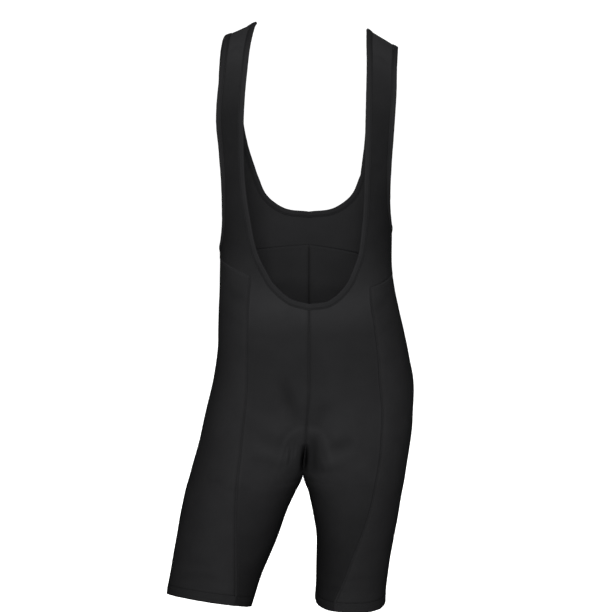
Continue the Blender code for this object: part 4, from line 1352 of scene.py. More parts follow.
@dataclass
class Shorts:
    """The cut pieces of the garment."""

    @staticmethod
    def panel(kind: str, half: Half, grids: list[Array], finish: KnitFinish, **more: Any) -> Panel:
        """A panel of one half, named for its kind and its side.

        Args:
            kind: The kind's word in both names.
            half: The half.
            grids: Its patches.
            finish: Its knit.
            more: The panel's other fields.

        Returns:
            The panel.
        """
        word = half.side.word
        return Panel(f"cloth_{kind}_{word}", f"{kind}_panel_{word}", [(half, grid) for grid in grids], finish,
                     **more)

    def front(self, half: Half) -> Panel:
        """Leg front, lower front and strap in one cut, over the shoulder as far as the shoulder seam.

        Args:
            half: The half it is cut for.

        Returns:
            The panel.
        """
        lines = half.lines
        wide = STEPS.front + STEPS.corner
        crotch = straight((0, CROTCH), lines["front seam, trunk"][0], wide)
        band = straight(lines["front inseam"][0], lines["front seam, leg"][0], wide)
        neck, arm = lines["neck, high"], lines["armhole, front"]
        across = STEPS.corner + STEPS.slant
        under_arm = straight(neck[STEPS.neck_rise], arm[0], across)
        shoulder = straight(neck[-1], arm[-1], across)
        neck_over = lines["neck back, high"][::-1][:STEPS.over + 1]
        arm_over = lines["armhole, back"][::-1][:STEPS.over + 1]
        behind = straight(neck_over[0], arm_over[0], across)
        seam = straight(neck_over[-1], arm_over[-1], across)
        top = join(lines["neck, low"], lines["corner"])
        rise = neck[:STEPS.neck_rise + 1]
        side_seam = straight(lines["side seam"][0], lines["side seam"][-1], STEPS.neck_rise)
        grids = [
            patch(band, crotch, lines["front inseam"], lines["front seam, leg"]),
            patch(crotch, top, lines["centre front"], lines["front seam, trunk"]),
            patch(join(lines["corner"], lines["front waist"]), under_arm, rise, side_seam),
            patch(under_arm, shoulder, neck[STEPS.neck_rise:], arm),
            patch(behind, seam, neck_over, arm_over),
        ]
        return self.panel("front", half, grids, FRONT_KNIT, tones=FRONT_PAINTED_LIGHT)

    def side(self, half: Half) -> Panel:
        """The panel round the outside of the leg and hip, up to the slanting waist seam.

        Args:
            half: The half it is cut for.

        Returns:
            The panel.
        """
        lines = half.lines
        steps = STEPS.slant + STEPS.back_waist
        band = straight(lines["front seam, leg"][0], lines["back seam, leg"][0], steps)
        crotch = straight(lines["front seam, leg"][-1], lines["back seam, leg"][-1], steps)
        waist = join(lines["front waist"], lines["side waist"])
        grids = [
            patch(band, crotch, lines["front seam, leg"], lines["back seam, leg"]),
            patch(crotch, waist, lines["front seam, trunk"], lines["back seam, trunk"]),
        ]
        return self.panel("side", half, grids, SIDE_KNIT, tones=SIDE_PAINTED_LIGHT)

    def back(self, half: Half) -> Panel:
        """Seat and back of the leg, up to the waist seam.

        Args:
            half: The half it is cut for.

        Returns:
            The panel.
        """
        lines = half.lines
        band = straight(lines["back seam, leg"][0], lines["back inseam"][0], STEPS.seat)
        crotch = straight(lines["back seam, leg"][-1], lines["back inseam"][-1], STEPS.seat)
        grids = [
            patch(band, crotch, lines["back seam, leg"], lines["back inseam"]),
            patch(crotch, lines["seat waist"], lines["back seam, trunk"], lines["centre back"]),
        ]
        return self.panel("back", half, grids, FRONT_KNIT, from_back=True)

    def bib(self) -> Panel:
        """The back above the waist seam, in one piece with its two straps.

        Returns:
            The panel.
        """
        patches = []
        for half in HALVES.values():
            lines = half.lines
            neck, arm = lines["neck back, high"], lines["armhole, back"]
            waist = join(lines["side waist"], lines["seat waist"])
            rows = STEPS.side_seam + STEPS.back_arm
            centre = straight((2.0, WAIST_BACK), lines["neck back, low"][0], rows)
            blade = straight(arm[STEPS.back_arm], neck[0], STEPS.back_waist)
            seam = straight(arm[-1 - STEPS.over], neck[-1 - STEPS.over], STEPS.back_waist)
            top = join(blade, lines["neck back, low"][::-1])
            side = join(lines["side seam"], arm[:STEPS.back_arm + 1])
            patches.append((half, patch(waist, top, side, centre)))
            patches.append((half, patch(blade, seam, arm[STEPS.back_arm:-STEPS.over], neck[:-STEPS.over])))
        return Panel("cloth_back_bib", "back_bib", patches, FRONT_KNIT, True, 0.0)

    def build(self) -> None:
        """Every panel."""
        for half in HALVES.values():
            self.front(half).build()
            self.side(half).build()
            self.back(half).build()
        self.bib().build()


def even_steps(length: Array, pitch: float) -> Array:
    """Distances along a line in even steps of about the pitch."""
    return np.linspace(0, length[-1], max(int(length[-1] / pitch), 2) + 1)


@dataclass(frozen=True)
class Trail:
    """A path on the cloth: its points, outward normals and the way into the cloth square to it."""

    points: Array
    normals: Array
    sideways: Array

    @staticmethod
    def along(half: Half, run: Array, pitch: float, gap: float = SEAM_GAP / 2) -> "Trail":
        """A path with even steps along a line of places on one half.

        Args:
            half: The half.
            run: Rows of (v, height).
            pitch: The step's length.
            gap: How far the half stands off the centre.

        Returns:
            The path.
        """
        length = run_of(half.surface(run[:, 0], run[:, 1]))
        places = read(run, length, even_steps(length, pitch))
        points, normals = place(half, places[:, 0], places[:, 1], gap)
        forward = unit(np.gradient(points, axis=0))
        return Trail(points, normals, unit(np.cross(normals, forward)))

    @staticmethod
    def closed(points: Array, normals: Array) -> "Trail":
        """A path that comes back to its first point, with no way sideways."""
        loop = np.concatenate([points, points[:1]])
        return Trail(loop, np.concatenate([normals, normals[:1]]), loop * 0)

    def moved(self, sideways: float, up: float) -> "Trail":
        """The same path, moved sideways on the cloth and off it."""
        return Trail(self.points + sideways * self.sideways + up * self.normals, self.normals, self.sideways)


@dataclass(frozen=True)
class Stitching:
    """Sewing thread in rows of short stitches, or a looper thread that crosses from side to side."""

    pitch: float = 0.0027
    share: float = 0.72
    radius: float = 0.00019
    rings: int = 5
    sides: int = 5
    end_share: float = 0.35
    arch: float = 1.3
    sink: float = 0.4

    def tubes(self, centres: Array, up: Array) -> tuple[Array, Array]:
        """Closed round tubes along many short paths of the same number of points.

        Each ring is a circle round its path's point, in the plane of the normal and of the way across.

        Args:
            centres: Points with axes (path, ring, xyz).
            up: The outward normal at each.

        Returns:
            Points and four-sided faces.
        """
        forward = unit(np.gradient(centres, axis=1))
        across = unit(np.cross(forward, up))
        rise = np.cross(across, forward)
        turn = np.arange(self.sides) * 2 * math.pi / self.sides
        swell = np.ones(centres.shape[1])
        swell[[0, -1]] = self.end_share
        ring = (np.cos(turn)[:, None] * across[:, :, None] + np.sin(turn)[:, None] * rise[:, :, None])
        points = centres[:, :, None] + self.radius * swell[None, :, None, None] * ring
        one = grid_faces(centres.shape[1], self.sides, round_columns=True)
        size = centres.shape[1] * self.sides
        faces = (one[None] + np.arange(len(centres))[:, None, None] * size).reshape(-1, 4)
        caps = []
        for ring_number, order in ((0, 1), (centres.shape[1] - 1, -1)):
            first = np.arange(len(centres))[:, None] * size + ring_number * self.sides
            caps += [first + np.array(corners)[None, ::order] for corners in ((0, 1, 2, 3), (0, 3, 4, 4))]
        return points.reshape(-1, 3), np.concatenate([faces, *caps])

    def row(self, trail: Trail) -> tuple[Array, Array]:
        """A row of stitches along a path: each an arch that dips into the cloth at both ends.

        Args:
            trail: The path, with any number of points.

        Returns:
            Points and faces.
        """
        run = run_of(trail.points)
        count = max(int(run[-1] / self.pitch), 1)
        start = np.arange(count) * run[-1] / count
        share = np.linspace(0, 1, self.rings)
        at = start[:, None] + self.share * run[-1] / count * share[None]
        centres, up = read(trail.points, run, at), read(trail.normals, run, at)
        rise = self.radius * (self.arch * np.sin(share * math.pi) - self.sink)
        return self.tubes(centres + rise[None, :, None] * up, unit(up))

    def zigzag(self, trail: Trail, reach: float) -> tuple[Array, Array]:
        """A looper thread that crosses the seam from side to side, one crossing for each half pitch.

        Args:
            trail: The seam's middle.
            reach: How far it goes to each side.

        Returns:
            Points and faces.
        """
        run = run_of(trail.points)
        count = max(int(run[-1] / self.pitch), 1) * 2
        share = np.linspace(0, 1, self.rings)
        at = (np.arange(count)[:, None] + share[None]) * run[-1] / count
        centres, up, aside = (read(line, run, at) for line in (trail.points, trail.normals, trail.sideways))
        way = np.where(np.arange(count) % 2 == 0, 1.0, -1.0)[:, None]
        offset = way * reach * (2 * share[None] - 1)
        rise = self.radius * np.sin(share * math.pi)[None]
        return self.tubes(centres + offset[..., None] * aside + rise[..., None] * up, unit(up))


NEEDLE = Stitching(radius=0.00014)
LOOPER = Stitching(pitch=0.0024, radius=0.00010, rings=4)
TOP_STITCH = Stitching(pitch=0.0030)


def gathered(parts: list[tuple[Array, Array]]) -> tuple[Array, Array]:
    """Several meshes as one.

    Args:
        parts: Each mesh's points and faces.

    Returns:
        All their points and all their faces.
    """
    points, faces, count = [], [], 0
    for solid, quads in parts:
        points.append(solid)
        faces.append(quads + count)
        count += len(solid)
    return np.concatenate(points), np.concatenate(faces)


@dataclass
class FlatSeam:
    """A flat-sewn seam: a low cover of two ridges over the panels' edges, with its threads.

    Groove and rim are shares of the ridges' height, and the groove's width and the needles' place are shares
    of the reach.
    """

    name: str
    half: Half
    run: Array
    gap: float = SEAM_GAP / 2
    reach: float = 0.0013
    ridge: float = 0.00030
    pitch: float = 0.0014
    across_points: int = 9
    groove: float = 0.75
    groove_width: float = 0.28
    rim: float = 0.12
    under_share: float = 0.98
    under_depth: float = 0.0004
    needle_at: float = 0.62
    needle_lift: float = 0.95
    looper_lift: float = 0.75

    def build(self) -> None:
        """The cover and the threads.

        Across the seam the cover's height is a bow times a dip in its middle, so that two ridges stand
        beside a groove.
        """
        trail = Trail.along(self.half, self.run, self.pitch, self.gap)
        across = np.linspace(-1, 1, self.across_points)
        dip = self.groove * np.exp(-(across / self.groove_width) ** 2)
        height = self.ridge * ((1 - across ** 4) * (1 - dip) + self.rim)
        aside = self.reach * across[None, :, None] * trail.sideways[:, None]
        top = trail.points[:, None] + aside + height[None, :, None] * trail.normals[:, None]
        bottom = trail.points[:, None] + aside[:, ::-1] * self.under_share
        rings = np.concatenate([top, bottom - self.under_depth * trail.normals[:, None]], axis=1)
        count, sides = rings.shape[:2]
        faces = grid_faces(count, sides, round_columns=True)
        half = sides // 2
        lid = np.stack([np.arange(half - 1), np.arange(1, half), sides - 1 - np.arange(1, half),
                        sides - 1 - np.arange(half - 1)], axis=-1)
        faces = np.concatenate([faces[:, ::-1], lid, lid[:, ::-1] + (count - 1) * sides])
        run = run_of(trail.points)
        chart = together(run[:, None], np.concatenate([across, across[::-1]]) * self.reach)
        # The cover takes the painted shade of the seam's trough
        tone = np.broadcast_to(RELIEF.tone(trail.points)[:, None], rings.shape[:2])
        ROOM.piece(self.name, rings, faces, SEAM_KNIT, Slot.KNIT, chart, tone)
        aside, lift = self.reach * self.needle_at, self.ridge * self.needle_lift
        parts = [NEEDLE.row(trail.moved(way * aside, lift)) for way in (-1, 1)]
        parts.append(LOOPER.zigzag(trail.moved(0.0, self.ridge * self.looper_lift), aside))
        ROOM.piece(self.name + "_thread", *gathered(parts), THREAD, Slot.BINDING)


@dataclass
class Seams:
    """Every seam between the panels."""

    def build(self) -> None:
        """The seams of both halves, and the two centre seams."""
        for half in HALVES.values():
            lines, word = half.lines, half.side.word
            for name, parts in {
                "seam_front_": (lines["front seam, leg"], lines["front seam, trunk"]),
                "seam_back_": (lines["back seam, leg"], lines["back seam, trunk"]),
                "seam_slant_": (lines["front waist"],),
                "seam_waist_": (lines["side waist"], lines["seat waist"]),
                "seam_side_": (lines["side seam"],),
                "seam_inside_leg_": (lines["front inseam"],),
            }.items():
                FlatSeam(name + word, half, join(*parts)).build()
            ends = (lines[name][-1 - STEPS.over] for name in ("armhole, back", "neck back, high"))
            FlatSeam("seam_shoulder_" + word, half, straight(*ends, STEPS.back_waist)).build()
        left = HALVES[L]
        for name, line in (("seam_centre_front", "centre front"), ("seam_centre_back", "centre back")):
            FlatSeam(name, left, left.lines[line], gap=0.0).build()


@dataclass
class Binding:
    """A tape folded round an edge and sewn through, with its crown, its stitch line and its stitches.

    Facing is 1 where the cloth lies left of the way that the edge runs, seen from outside, and -1 where it
    lies right. The tape stands off the cloth by its rim and, towards the edge, by its crown as well.
    """

    name: str
    node: str
    stretches: list[tuple[Half, Array]]
    facing: float
    tape: float = 0.0006
    pitch: float = 0.0024
    stitch_in: float = 0.0062
    points_in: int = 11
    turn_points: int = 9
    rim: float = 0.00030
    crown: float = 0.00065
    dip: float = 0.00038
    dip_width: float = 0.0011
    turn_bow: float = 0.72
    ripple: float = 0.10
    ripple_lengths: tuple[float, float] = (0.017, 0.071)
    # Painted shade along the stitch line's groove, and a painted highlight on the fold
    groove_shade: float = 0.30
    groove_width: float = 0.0010
    fold_painted_highlight: float = 1.12

    def stations(self) -> tuple[list[Half], Array]:
        """Evenly stepped places along the whole edge.

        Returns:
            The half that each lies on, and rows of (v, height).
        """
        halves, places = [], []
        for half, run in self.stretches:
            length = run_of(half.surface(run[:, 0], run[:, 1], 0.0))
            places.append(read(run, length, even_steps(length, self.pitch)[:-1]))
            halves += [half] * len(places[-1])
        return halves, np.concatenate(places)

    @staticmethod
    def by_half(halves: list[Half], v: Array, height: Array, ask: Callable[..., Any]) -> tuple[Array, Array]:
        """What a half gives at places that lie on either of the two.

        Args:
            halves: The half that each row of places lies on.
            v: How far round.
            height: The level.
            ask: A function of a half, v and height that gives two arrays of vectors.

        Returns:
            Both arrays, for all the places.
        """
        first, second = np.zeros((2, *v.shape, 3))
        for half in HALVES.values():
            here = np.array([owner is half for owner in halves])
            first[here], second[here] = ask(half, v[here], height[here])
        return first, second

    def build(self) -> bpy.types.Object:
        """The folded tape and its two rows of stitches.

        A point of the tape is a place on the cloth at a distance in from the edge, moved along the normal.
        The leaves stand off the cloth by a crown that dips at the stitch line, and a half circle joins them
        past the edge.

        Returns:
            The tape's object.
        """
        halves, places = self.stations()
        v, height = places[:, 0], places[:, 1]
        on_cloth = partial(place, gap=0.0)
        edge, normal = self.by_half(halves, v, height, on_cloth)
        forward = unit(np.roll(edge, -1, axis=0) - np.roll(edge, 1, axis=0))
        inward = self.facing * unit(np.cross(normal, forward))
        slope_v, slope_h = self.by_half(halves, v, height, Half.slopes)
        a, b = np.sum(slope_v ** 2, axis=1), np.sum(slope_v * slope_h, axis=1)
        c = np.sum(slope_h ** 2, axis=1)
        on_v, on_h = np.sum(slope_v * inward, axis=1), np.sum(slope_h * inward, axis=1)
        scale = a * c - b ** 2
        step_v, step_h = (c * on_v - b * on_h) / scale, (a * on_h - b * on_v) / scale
        ins = np.linspace(0.0, BINDING_WIDTH, self.points_in)
        deep_v = np.clip(v[:, None] + step_v[:, None] * ins, 0, 2)
        deep_h = np.minimum(height[:, None] + step_h[:, None] * ins, SHOULDER_TOP)
        cloth, up = self.by_half(halves, deep_v, deep_h, on_cloth)
        run = run_of(edge)
        short, long = (np.sin(run * 2 * math.pi / length) for length in self.ripple_lengths)
        dip = self.dip * np.exp(-((ins - self.stitch_in) / self.dip_width) ** 2)
        crown = self.rim + self.crown * (1 - (ins / BINDING_WIDTH) ** 3) - dip
        crown = crown[None] * (1 + self.ripple * short * long)[:, None]
        turn = np.linspace(0, math.pi, self.turn_points)[1:-1]

        def leaf(outside: float) -> Array:
            """One face of the tape, from the outer leaf's rim round the edge to the inner's.

            Args:
                outside: How far it stands off the crown.

            Returns:
                A ring of points for each station.
            """
            stand = crown + outside
            over = cloth[:, ::-1] + stand[:, ::-1, None] * up[:, ::-1]
            under = cloth - (CLOTH + stand)[..., None] * up
            radius = CLOTH / 2 + stand[:, 0]
            middle = edge - CLOTH / 2 * normal
            bow = (middle[:, None] + radius[:, None, None] * np.cos(turn)[None, :, None] * normal[:, None]
                   - (radius * self.turn_bow)[:, None, None] * np.sin(turn)[None, :, None] * inward[:, None])
            return np.concatenate([over, bow, under], axis=1)

        outer, inner = leaf(self.tape), leaf(0.0)
        rings = np.concatenate([outer, inner[:, ::-1]], axis=1)
        count, sides = rings.shape[:2]
        faces = grid_faces(count, sides, round_rows=True, round_columns=True)
        if self.facing > 0:
            faces = faces[:, ::-1]
        width = run_of(outer[0])
        chart = together(np.concatenate([width, width[::-1]])[None], run[:, None])
        # Painted light and shade across the tape: darker at the stitch line, lighter on the fold
        flat = 1 - self.groove_shade * np.exp(-((ins - self.stitch_in) / self.groove_width) ** 2)
        across = np.concatenate([flat[::-1], np.full(len(turn), self.fold_painted_highlight), flat])
        tone = np.broadcast_to(np.concatenate([across, across[::-1]])[None], rings.shape[:2])
        thing = ROOM.piece(self.name, rings, faces, TAPE_KNIT, Slot.BINDING, chart, tone)
        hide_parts(self.node)
        LOG.info("%s: cut %.4f x %.3f m", self.name, width[-1], run[-1] / STRETCH_ALONG)
        at = int(np.argmin(abs(ins - self.stitch_in)))
        parts = []
        for way, depth in ((1.0, 0.0), (-1.0, CLOTH)):
            line = cloth[:, at] + way * (crown[:, at] + self.tape + depth)[:, None] * up[:, at]
            parts.append(TOP_STITCH.row(Trail.closed(line, way * up[:, at])))
        ROOM.piece(self.name + "_thread", *gathered(parts), THREAD, Slot.BINDING)
        return thing


@dataclass
class Bindings:
    """The neck tape and the two armhole tapes."""

    def build(self) -> None:
        """Lays out each closed edge and builds its tape."""
        order = []
        for half in HALVES.values():
            lines = half.lines
            front = join(lines["neck, low"], lines["neck, high"])
            back = join(lines["neck back, low"], lines["neck back, high"])
            runs = (front, back[::-1]) if half.side is R else (back, front[::-1])
            order += [(half, run) for run in runs]
        Binding("neck_tape", "neck_binding", order, 1.0).build()
        for half in HALVES.values():
            lines, word = half.lines, half.side.word
            order = [(half, lines["armhole, front"]), (half, lines["armhole, back"][::-1])]
            Binding("armhole_tape_" + word, "armhole_binding_" + word, order, half.side.value).build()


@dataclass
class Hem:
    """The turned band round the bottom of a leg, with two rows of stitches near its top.

    The band's face stands off the cloth, a little less at its very top, and dents along each row. The rows
    are distances down from the top.
    """

    half: Half
    thickness: float = 0.0022
    lap: float = 0.0008
    rows: tuple[float, ...] = (0.0022, 0.0052)
    ripples: tuple[Wave, ...] = (Wave(0.031, 0.00022, 1.0), Wave(0.019, 0.00016, 0.0))
    dent: float = 0.00022
    dent_width: float = 0.0008
    top_stand: float = 0.00012
    stand_rise: float = 0.00018
    rise_speed: float = 9.0
    thread_stand: float = 0.00012
    steps: int = 260
    fine_points: int = 1201
    points_down: int = 13
    arc_points: int = 7

    def build(self) -> None:
        """The band and its stitches.

        Going round, the places run at even lengths. Up the band, the outer face has a slight ripple that
        grows towards the fold; the fold is a half circle, and the inner face comes back up.
        """
        half, side = self.half, self.half.side
        top = HEM[side] + HEM_DEPTH
        v = np.linspace(0, 2, self.fine_points)
        ring = run_of(half.surface(v, np.full_like(v, top)))
        run = np.linspace(0, ring[-1], self.steps + 1)[:-1]
        turn = np.interp(run, ring, v)
        down = np.linspace(0, 1, self.points_down)
        fold = self.thickness / 2
        level = top + self.lap * (1 - down) - (HEM_DEPTH - fold) * down
        points, normals = place(half, turn[:, None], level[None])
        ripple = sum(wave.at(run) for wave in self.ripples)
        dent = sum(np.exp(-((HEM_DEPTH * down - row) / self.dent_width) ** 2) for row in self.rows)
        stand = self.top_stand + self.stand_rise * np.minimum(self.rise_speed * down, 1)
        lift = ripple[:, None] * down[None] - self.dent * dent[None] + stand
        outer = points + lift[..., None] * normals
        inner = points - (self.thickness - lift)[..., None] * normals
        tangent = unit(points[:, -1] - points[:, -2])
        arc = np.linspace(0, math.pi, self.arc_points)[1:-1]
        middle = (outer[:, -1] + inner[:, -1]) / 2
        bow = (middle[:, None] + fold * np.cos(arc)[None, :, None] * normals[:, -1][:, None]
               + fold * np.sin(arc)[None, :, None] * tangent[:, None])
        rings = np.concatenate([outer, bow, inner[:, ::-1]], axis=1)
        faces = grid_faces(*rings.shape[:2], round_rows=True, round_columns=True)
        if side is R:
            faces = faces[:, ::-1]
        depth = run_of(rings[0])
        chart = together(run[:, None], depth[None])
        word = side.word
        # Painted light and shade: the panels' values at the lowest height, times the painted shade round the
        # leg
        on_front = turn < half.lines["front seam, leg"][0, 0]
        tone = np.where(on_front, FRONT_PAINTED_LIGHT[0][1], SIDE_PAINTED_LIGHT[0][1])
        tone = tone * Panel.painted_round_shade(turn, np.full_like(turn, top))
        tone = np.broadcast_to(tone[:, None], rings.shape[:2])
        thing = ROOM.piece("hem_" + word, rings, faces, HEM_KNIT, Slot.KNIT, chart, tone)
        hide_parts("hem_band_" + word)
        parts = []
        for row in self.rows:
            line, normal = place(half, turn, np.full_like(turn, top - row))
            parts.append(TOP_STITCH.row(Trail.closed(line + self.thread_stand * normal, normal)))
        ROOM.piece("hem_thread_" + word, *gathered(parts), THREAD, Slot.KNIT)


@dataclass(frozen=True)
class PadRow:
    """A line across the pad: where its middle lies, its half width and its turn down the inside leg."""

    face: Face
    height: float
    reach: float
    turn: float


PAD_ROWS = (
    PadRow(FRONT, -0.6060, 0.012, 0), PadRow(FRONT, -0.6130, 0.024, 0), PadRow(FRONT, -0.6240, 0.031, 3),
    PadRow(FRONT, -0.6380, 0.036, 9), PadRow(FRONT, -0.6530, 0.040, 18), PadRow(FRONT, -0.6670, 0.043, 31),
    PadRow(FRONT, -0.6780, 0.045, 45), PadRow(FRONT, -0.6870, 0.046, 60), PadRow(FRONT, -0.6930, 0.047, 73),
    PadRow(FRONT, -0.6962, 0.047, 84), PadRow(FRONT, CROTCH, 0.047, 90),
    PadRow(BACK, -0.6955, 0.048, 84), PadRow(BACK, -0.6910, 0.049, 73), PadRow(BACK, -0.6830, 0.051, 58),
    PadRow(BACK, -0.6710, 0.053, 43), PadRow(BACK, -0.6560, 0.056, 29), PadRow(BACK, -0.6380, 0.059, 18),
    PadRow(BACK, -0.6180, 0.061, 9), PadRow(BACK, -0.5970, 0.059, 3), PadRow(BACK, -0.5780, 0.050, 0),
    PadRow(BACK, -0.5640, 0.036, 0), PadRow(BACK, -0.5560, 0.018, 0),
)


@dataclass
class SeatPad:
    """The foam pad inside the crotch, in moulded lobes between channels.

    The channels' places and widths are shares of the pad's half width, and the cross channel's are shares of
    its length.
    """

    thick: float = 0.006
    rim: float = 0.0025
    end_taper: float = 0.35
    bridge: float = 0.002
    ridge: float = 0.004
    lay: float = 0.0010
    columns: int = 26
    rows: int = 150
    channels: tuple[float, ...] = (0.0, 0.42, 0.78)
    channel_depth: float = 0.0022
    channel_width: float = 0.055
    lengthwise_share: float = 0.8
    cross_share: float = 0.7
    cross_at: float = 0.40
    cross_width: float = 0.018
    fade_speed: float = 2.2
    map_reach: float = 0.05

    def build(self) -> bpy.types.Object:
        """The pad's wall.

        Each row stands off the surface along its normals, thickest along the middle. The rows' points are
        blended along the pad. On the inner face, channels run lengthwise as soft troughs and fade at the
        ends, and a cross channel lies between the front and the seat lobes.

        Returns:
            The pad's object.
        """
        shares = np.linspace(0, 1, self.columns + 1)
        places = {}
        for half in HALVES.values():
            rows = []
            for row in PAD_ROWS:
                angle = math.radians(row.turn)
                level = row.height - row.reach * shares * math.sin(angle)
                out = half.cut(level)["inner"] + row.reach * shares * math.cos(angle)
                rows.append(together(half.v_at(out, level, row.face), level))
            places[half.side] = np.array(rows)
        left = places[L]
        middle = place(HALVES[L], left[:, 0, 0], left[:, 0, 1], 0.0)[0]
        square = unit(np.cross([1.0, 0.0, 0.0], unit(np.gradient(middle, axis=0))))
        turn = np.sin(np.radians([row.turn for row in PAD_ROWS]))
        taper = np.where(np.arange(len(PAD_ROWS)) % (len(PAD_ROWS) - 1) == 0, self.end_taper, 1.0)
        along = run_of(middle)
        at = np.linspace(0, along[-1], self.rows + 1)
        sheets = []
        for depth in (0.0, 1.0):
            crown = taper[:, None] * np.sqrt(1 - shares ** 2)[None]
            off = (CLOTH + self.lay + self.bridge * turn[:, None]
                   + depth * (self.rim + (self.thick - self.rim) * crown))
            halves = {}
            for half in HALVES.values():
                v, height = places[half.side][..., 0], places[half.side][..., 1]
                cloth, normal = place(half, v, height, 0.0)
                halves[half.side] = cloth - off[..., None] * normal
            centre = middle + (off[:, 0] + self.ridge * turn)[:, None] * square
            sheet = np.concatenate([halves[R][:, :0:-1], centre[:, None], halves[L][:, 1:]],
                                   axis=1)
            flat = sheet.reshape(len(PAD_ROWS), -1)
            fine = np.stack([blend(along, flat[:, k], at) for k in range(flat.shape[1])], axis=-1)
            sheets.append(fine.reshape(len(at), -1, 3))
        low, high = sheets
        inward = unit(high - low)
        across = np.concatenate([-shares[:0:-1], shares])
        fade = np.clip(np.sin(at / at[-1] * math.pi) * self.fade_speed, 0, 1)[:, None]
        dent = sum(np.exp(-((abs(across) - channel) / self.channel_width) ** 2) for channel in self.channels)
        cross = np.exp(-((at / at[-1] - self.cross_at) / self.cross_width) ** 2)[:, None] * (1 - across ** 2)
        sunk = fade * np.clip(dent, 0, 1)[None] * self.lengthwise_share + cross * self.cross_share
        high = high - self.channel_depth * sunk[..., None] * inward
        count = low.shape[0] * low.shape[1]
        quads = grid_faces(*low.shape[:2])
        index = np.arange(count).reshape(low.shape[:2])
        rim = np.concatenate([index[0, :-1], index[:-1, -1], index[-1, :0:-1], index[:0:-1, 0]])
        ahead = np.roll(rim, -1)
        walls = np.stack([rim, ahead, ahead + count, rim + count], axis=-1)
        faces = np.concatenate([quads[:, ::-1], quads + count, walls])
        chart = together(across[None] * self.map_reach, at[:, None])
        thing = ROOM.piece("pad_foam", np.concatenate([low, high]), faces, PAD_KNIT, Slot.PAD,
                           np.concatenate([chart, chart]))
        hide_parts("seat_pad")
        return thing


@dataclass(frozen=True)
class Lamp:
    """A soft rectangular studio light."""

    name: str
    place: tuple[float, float, float]
    aim: tuple[float, float, float]
    size: tuple[float, float]
    power: float


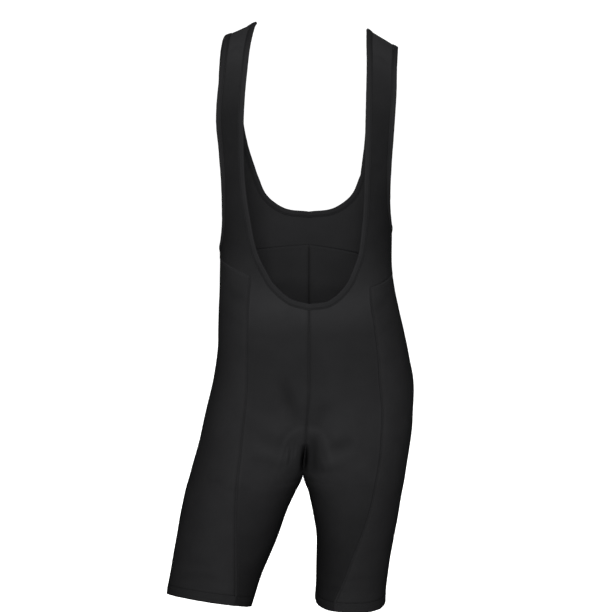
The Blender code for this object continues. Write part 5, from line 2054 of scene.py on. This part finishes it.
@dataclass
class Studio:
    """A plain pale floor that sweeps up to a pale wall far off, soft lights and the camera.

    The floor's glow goes from its centre glow to its full glow between two distances from the middle.
    """

    floor_level: float = -1.45
    floor_radii: tuple[float, ...] = (0.05, 0.6, 1.4, 3.0, 6.0, 11.0)
    floor_reach: float = 17.0
    cove: float = 3.0
    cove_points: int = 13
    wall: float = 5.0
    sides: int = 96
    floor_colour: tuple[float, float, float] = (0.40, 0.40, 0.40)
    floor_roughness: float = 0.9
    floor_specular: float = 0.1
    glow: float = 0.97
    centre_glow: float = 0.34
    glow_from: float = 1.2
    glow_to: float = 2.1
    world: float = 0.05
    distance: float = 5.6
    tilt: float = math.radians(9.5)
    target: tuple[float, float, float] = (-0.0047, 0.0, -0.4290)
    lens: float = 211.2
    sensor: float = 36.0
    lamps: tuple[Lamp, ...] = (
        Lamp("key_light", (-0.25, -3.9, 2.1), (0.0, 0.0, -0.40), (1.2, 1.2), 385.0),
        Lamp("fill_light", (0.2, -4.6, 0.0), (0.0, 0.0, -0.50), (1.4, 1.4), 108.0),
        Lamp("top_light", (0.0, -0.6, 2.6), (0.0, 0.0, -0.20), (1.4, 1.0), 18.0),
        Lamp("back_light", (0.3, 4.2, 2.1), (0.0, 0.0, -0.45), (1.8, 1.5), 300.0),
        Lamp("right_light", (-4.3, 0.4, 1.7), (0.0, 0.0, -0.45), (1.8, 1.5), 60.0),
        Lamp("left_light", (4.3, 0.4, 1.7), (0.0, 0.0, -0.45), (1.8, 1.5), 60.0),
    )

    @staticmethod
    def turned(place_at: Array, aim: Array) -> Any:
        """The rotation that points an object's -Z from a place towards its aim."""
        return (Vector(aim) - Vector(place_at)).to_track_quat("-Z", "Y").to_euler()

    def floor(self) -> bpy.types.Object:
        """The floor and its far sweep, as rings round the middle.

        Its glow is even, apart from a round area under the garment that glows less, so that the cloth isn't
        lit from below as strongly as from the lamps.

        Returns:
            The floor.
        """
        recipe = Recipe("pale_floor")
        where = recipe.node("ShaderNodeTexCoord", {}, {})
        split = recipe.node("ShaderNodeSeparateXYZ", {}, {0: where.outputs["Object"]})
        x, y = Value(recipe, split.outputs[0]), Value(recipe, split.outputs[1])
        reach = (x * x + y * y).power(0.5)
        ease = recipe.node("ShaderNodeMapRange", {"interpolation_type": "SMOOTHSTEP"},
                           {0: reach, 1: self.glow_from, 2: self.glow_to, 3: 0.0, 4: 1.0})
        dim, full = (self.centre_glow,) * 3, (self.glow,) * 3
        recipe.fill(recipe.shader, {
            "Base Color": (*self.floor_colour, 1.0),
            "Roughness": self.floor_roughness,
            "Specular IOR Level": self.floor_specular,
            "Emission Color": recipe.mixed(Value(recipe, ease.outputs[0]), dim, full),
            "Emission Strength": 1.0,
        })
        arc = np.linspace(0, math.pi / 2, self.cove_points)
        radius = np.concatenate([self.floor_radii, self.floor_reach + self.cove * np.sin(arc),
                                 [self.floor_reach + self.cove]])
        level = np.zeros(len(self.floor_radii))
        height = np.concatenate([level, self.cove * (1 - np.cos(arc)), [self.wall]]) + self.floor_level
        turn = np.linspace(0, 2 * math.pi, self.sides + 1)[:-1]
        rings = together(radius[:, None] * np.cos(turn), radius[:, None] * np.sin(turn), height[:, None])
        quads = grid_faces(len(radius), len(turn), round_columns=True)
        mesh = bpy.data.meshes.new("floor")
        faces = [*quads[:, ::-1].tolist(), list(range(len(turn)))]
        mesh.from_pydata(rings.reshape(-1, 3).tolist(), [], faces)
        mesh.polygons.foreach_set("use_smooth", np.ones(len(quads) + 1, bool))
        mesh.materials.append(recipe.material)
        thing = stood("floor", mesh)
        return thing

    def build(self) -> None:
        """Floor, lights, world and camera."""
        scene = bpy.context.scene
        self.floor()
        world = bpy.data.worlds.new("studio")
        world.use_nodes = True
        sky = world.node_tree.nodes["Background"]
        sky.inputs["Color"].default_value = (1.0, 1.0, 1.0, 1.0)
        sky.inputs["Strength"].default_value = self.world
        scene.world = world
        for lamp in self.lamps:
            light = bpy.data.lights.new(lamp.name, "AREA")
            light.shape, light.energy = "RECTANGLE", lamp.power
            light.size, light.size_y = lamp.size
            thing = stood(lamp.name, light)
            thing.location = lamp.place
            thing.rotation_euler = self.turned(lamp.place, lamp.aim)
        camera = bpy.data.cameras.new("camera")
        camera.lens, camera.sensor_width, camera.sensor_fit = self.lens, self.sensor, "HORIZONTAL"
        thing = stood("camera", camera)
        back = self.distance * np.array([0.0, -math.cos(self.tilt), math.sin(self.tilt)])
        thing.location = np.array(self.target) + back
        thing.rotation_euler = (math.pi / 2 - self.tilt, 0.0, 0.0)
        scene.camera = thing
        scene.view_settings.view_transform = "Standard"


def main() -> None:
    """Builds the studio and every piece in order."""
    logging.basicConfig(level=logging.INFO, format="%(name)s %(message)s")
    for maker in (Studio(), Shorts(), Seams(), Bindings(), *map(Hem, HALVES.values()), SeatPad()):
        maker.build()
        LOG.info("%s done", type(maker).__name__)


if __name__ == "__main__":
    main()
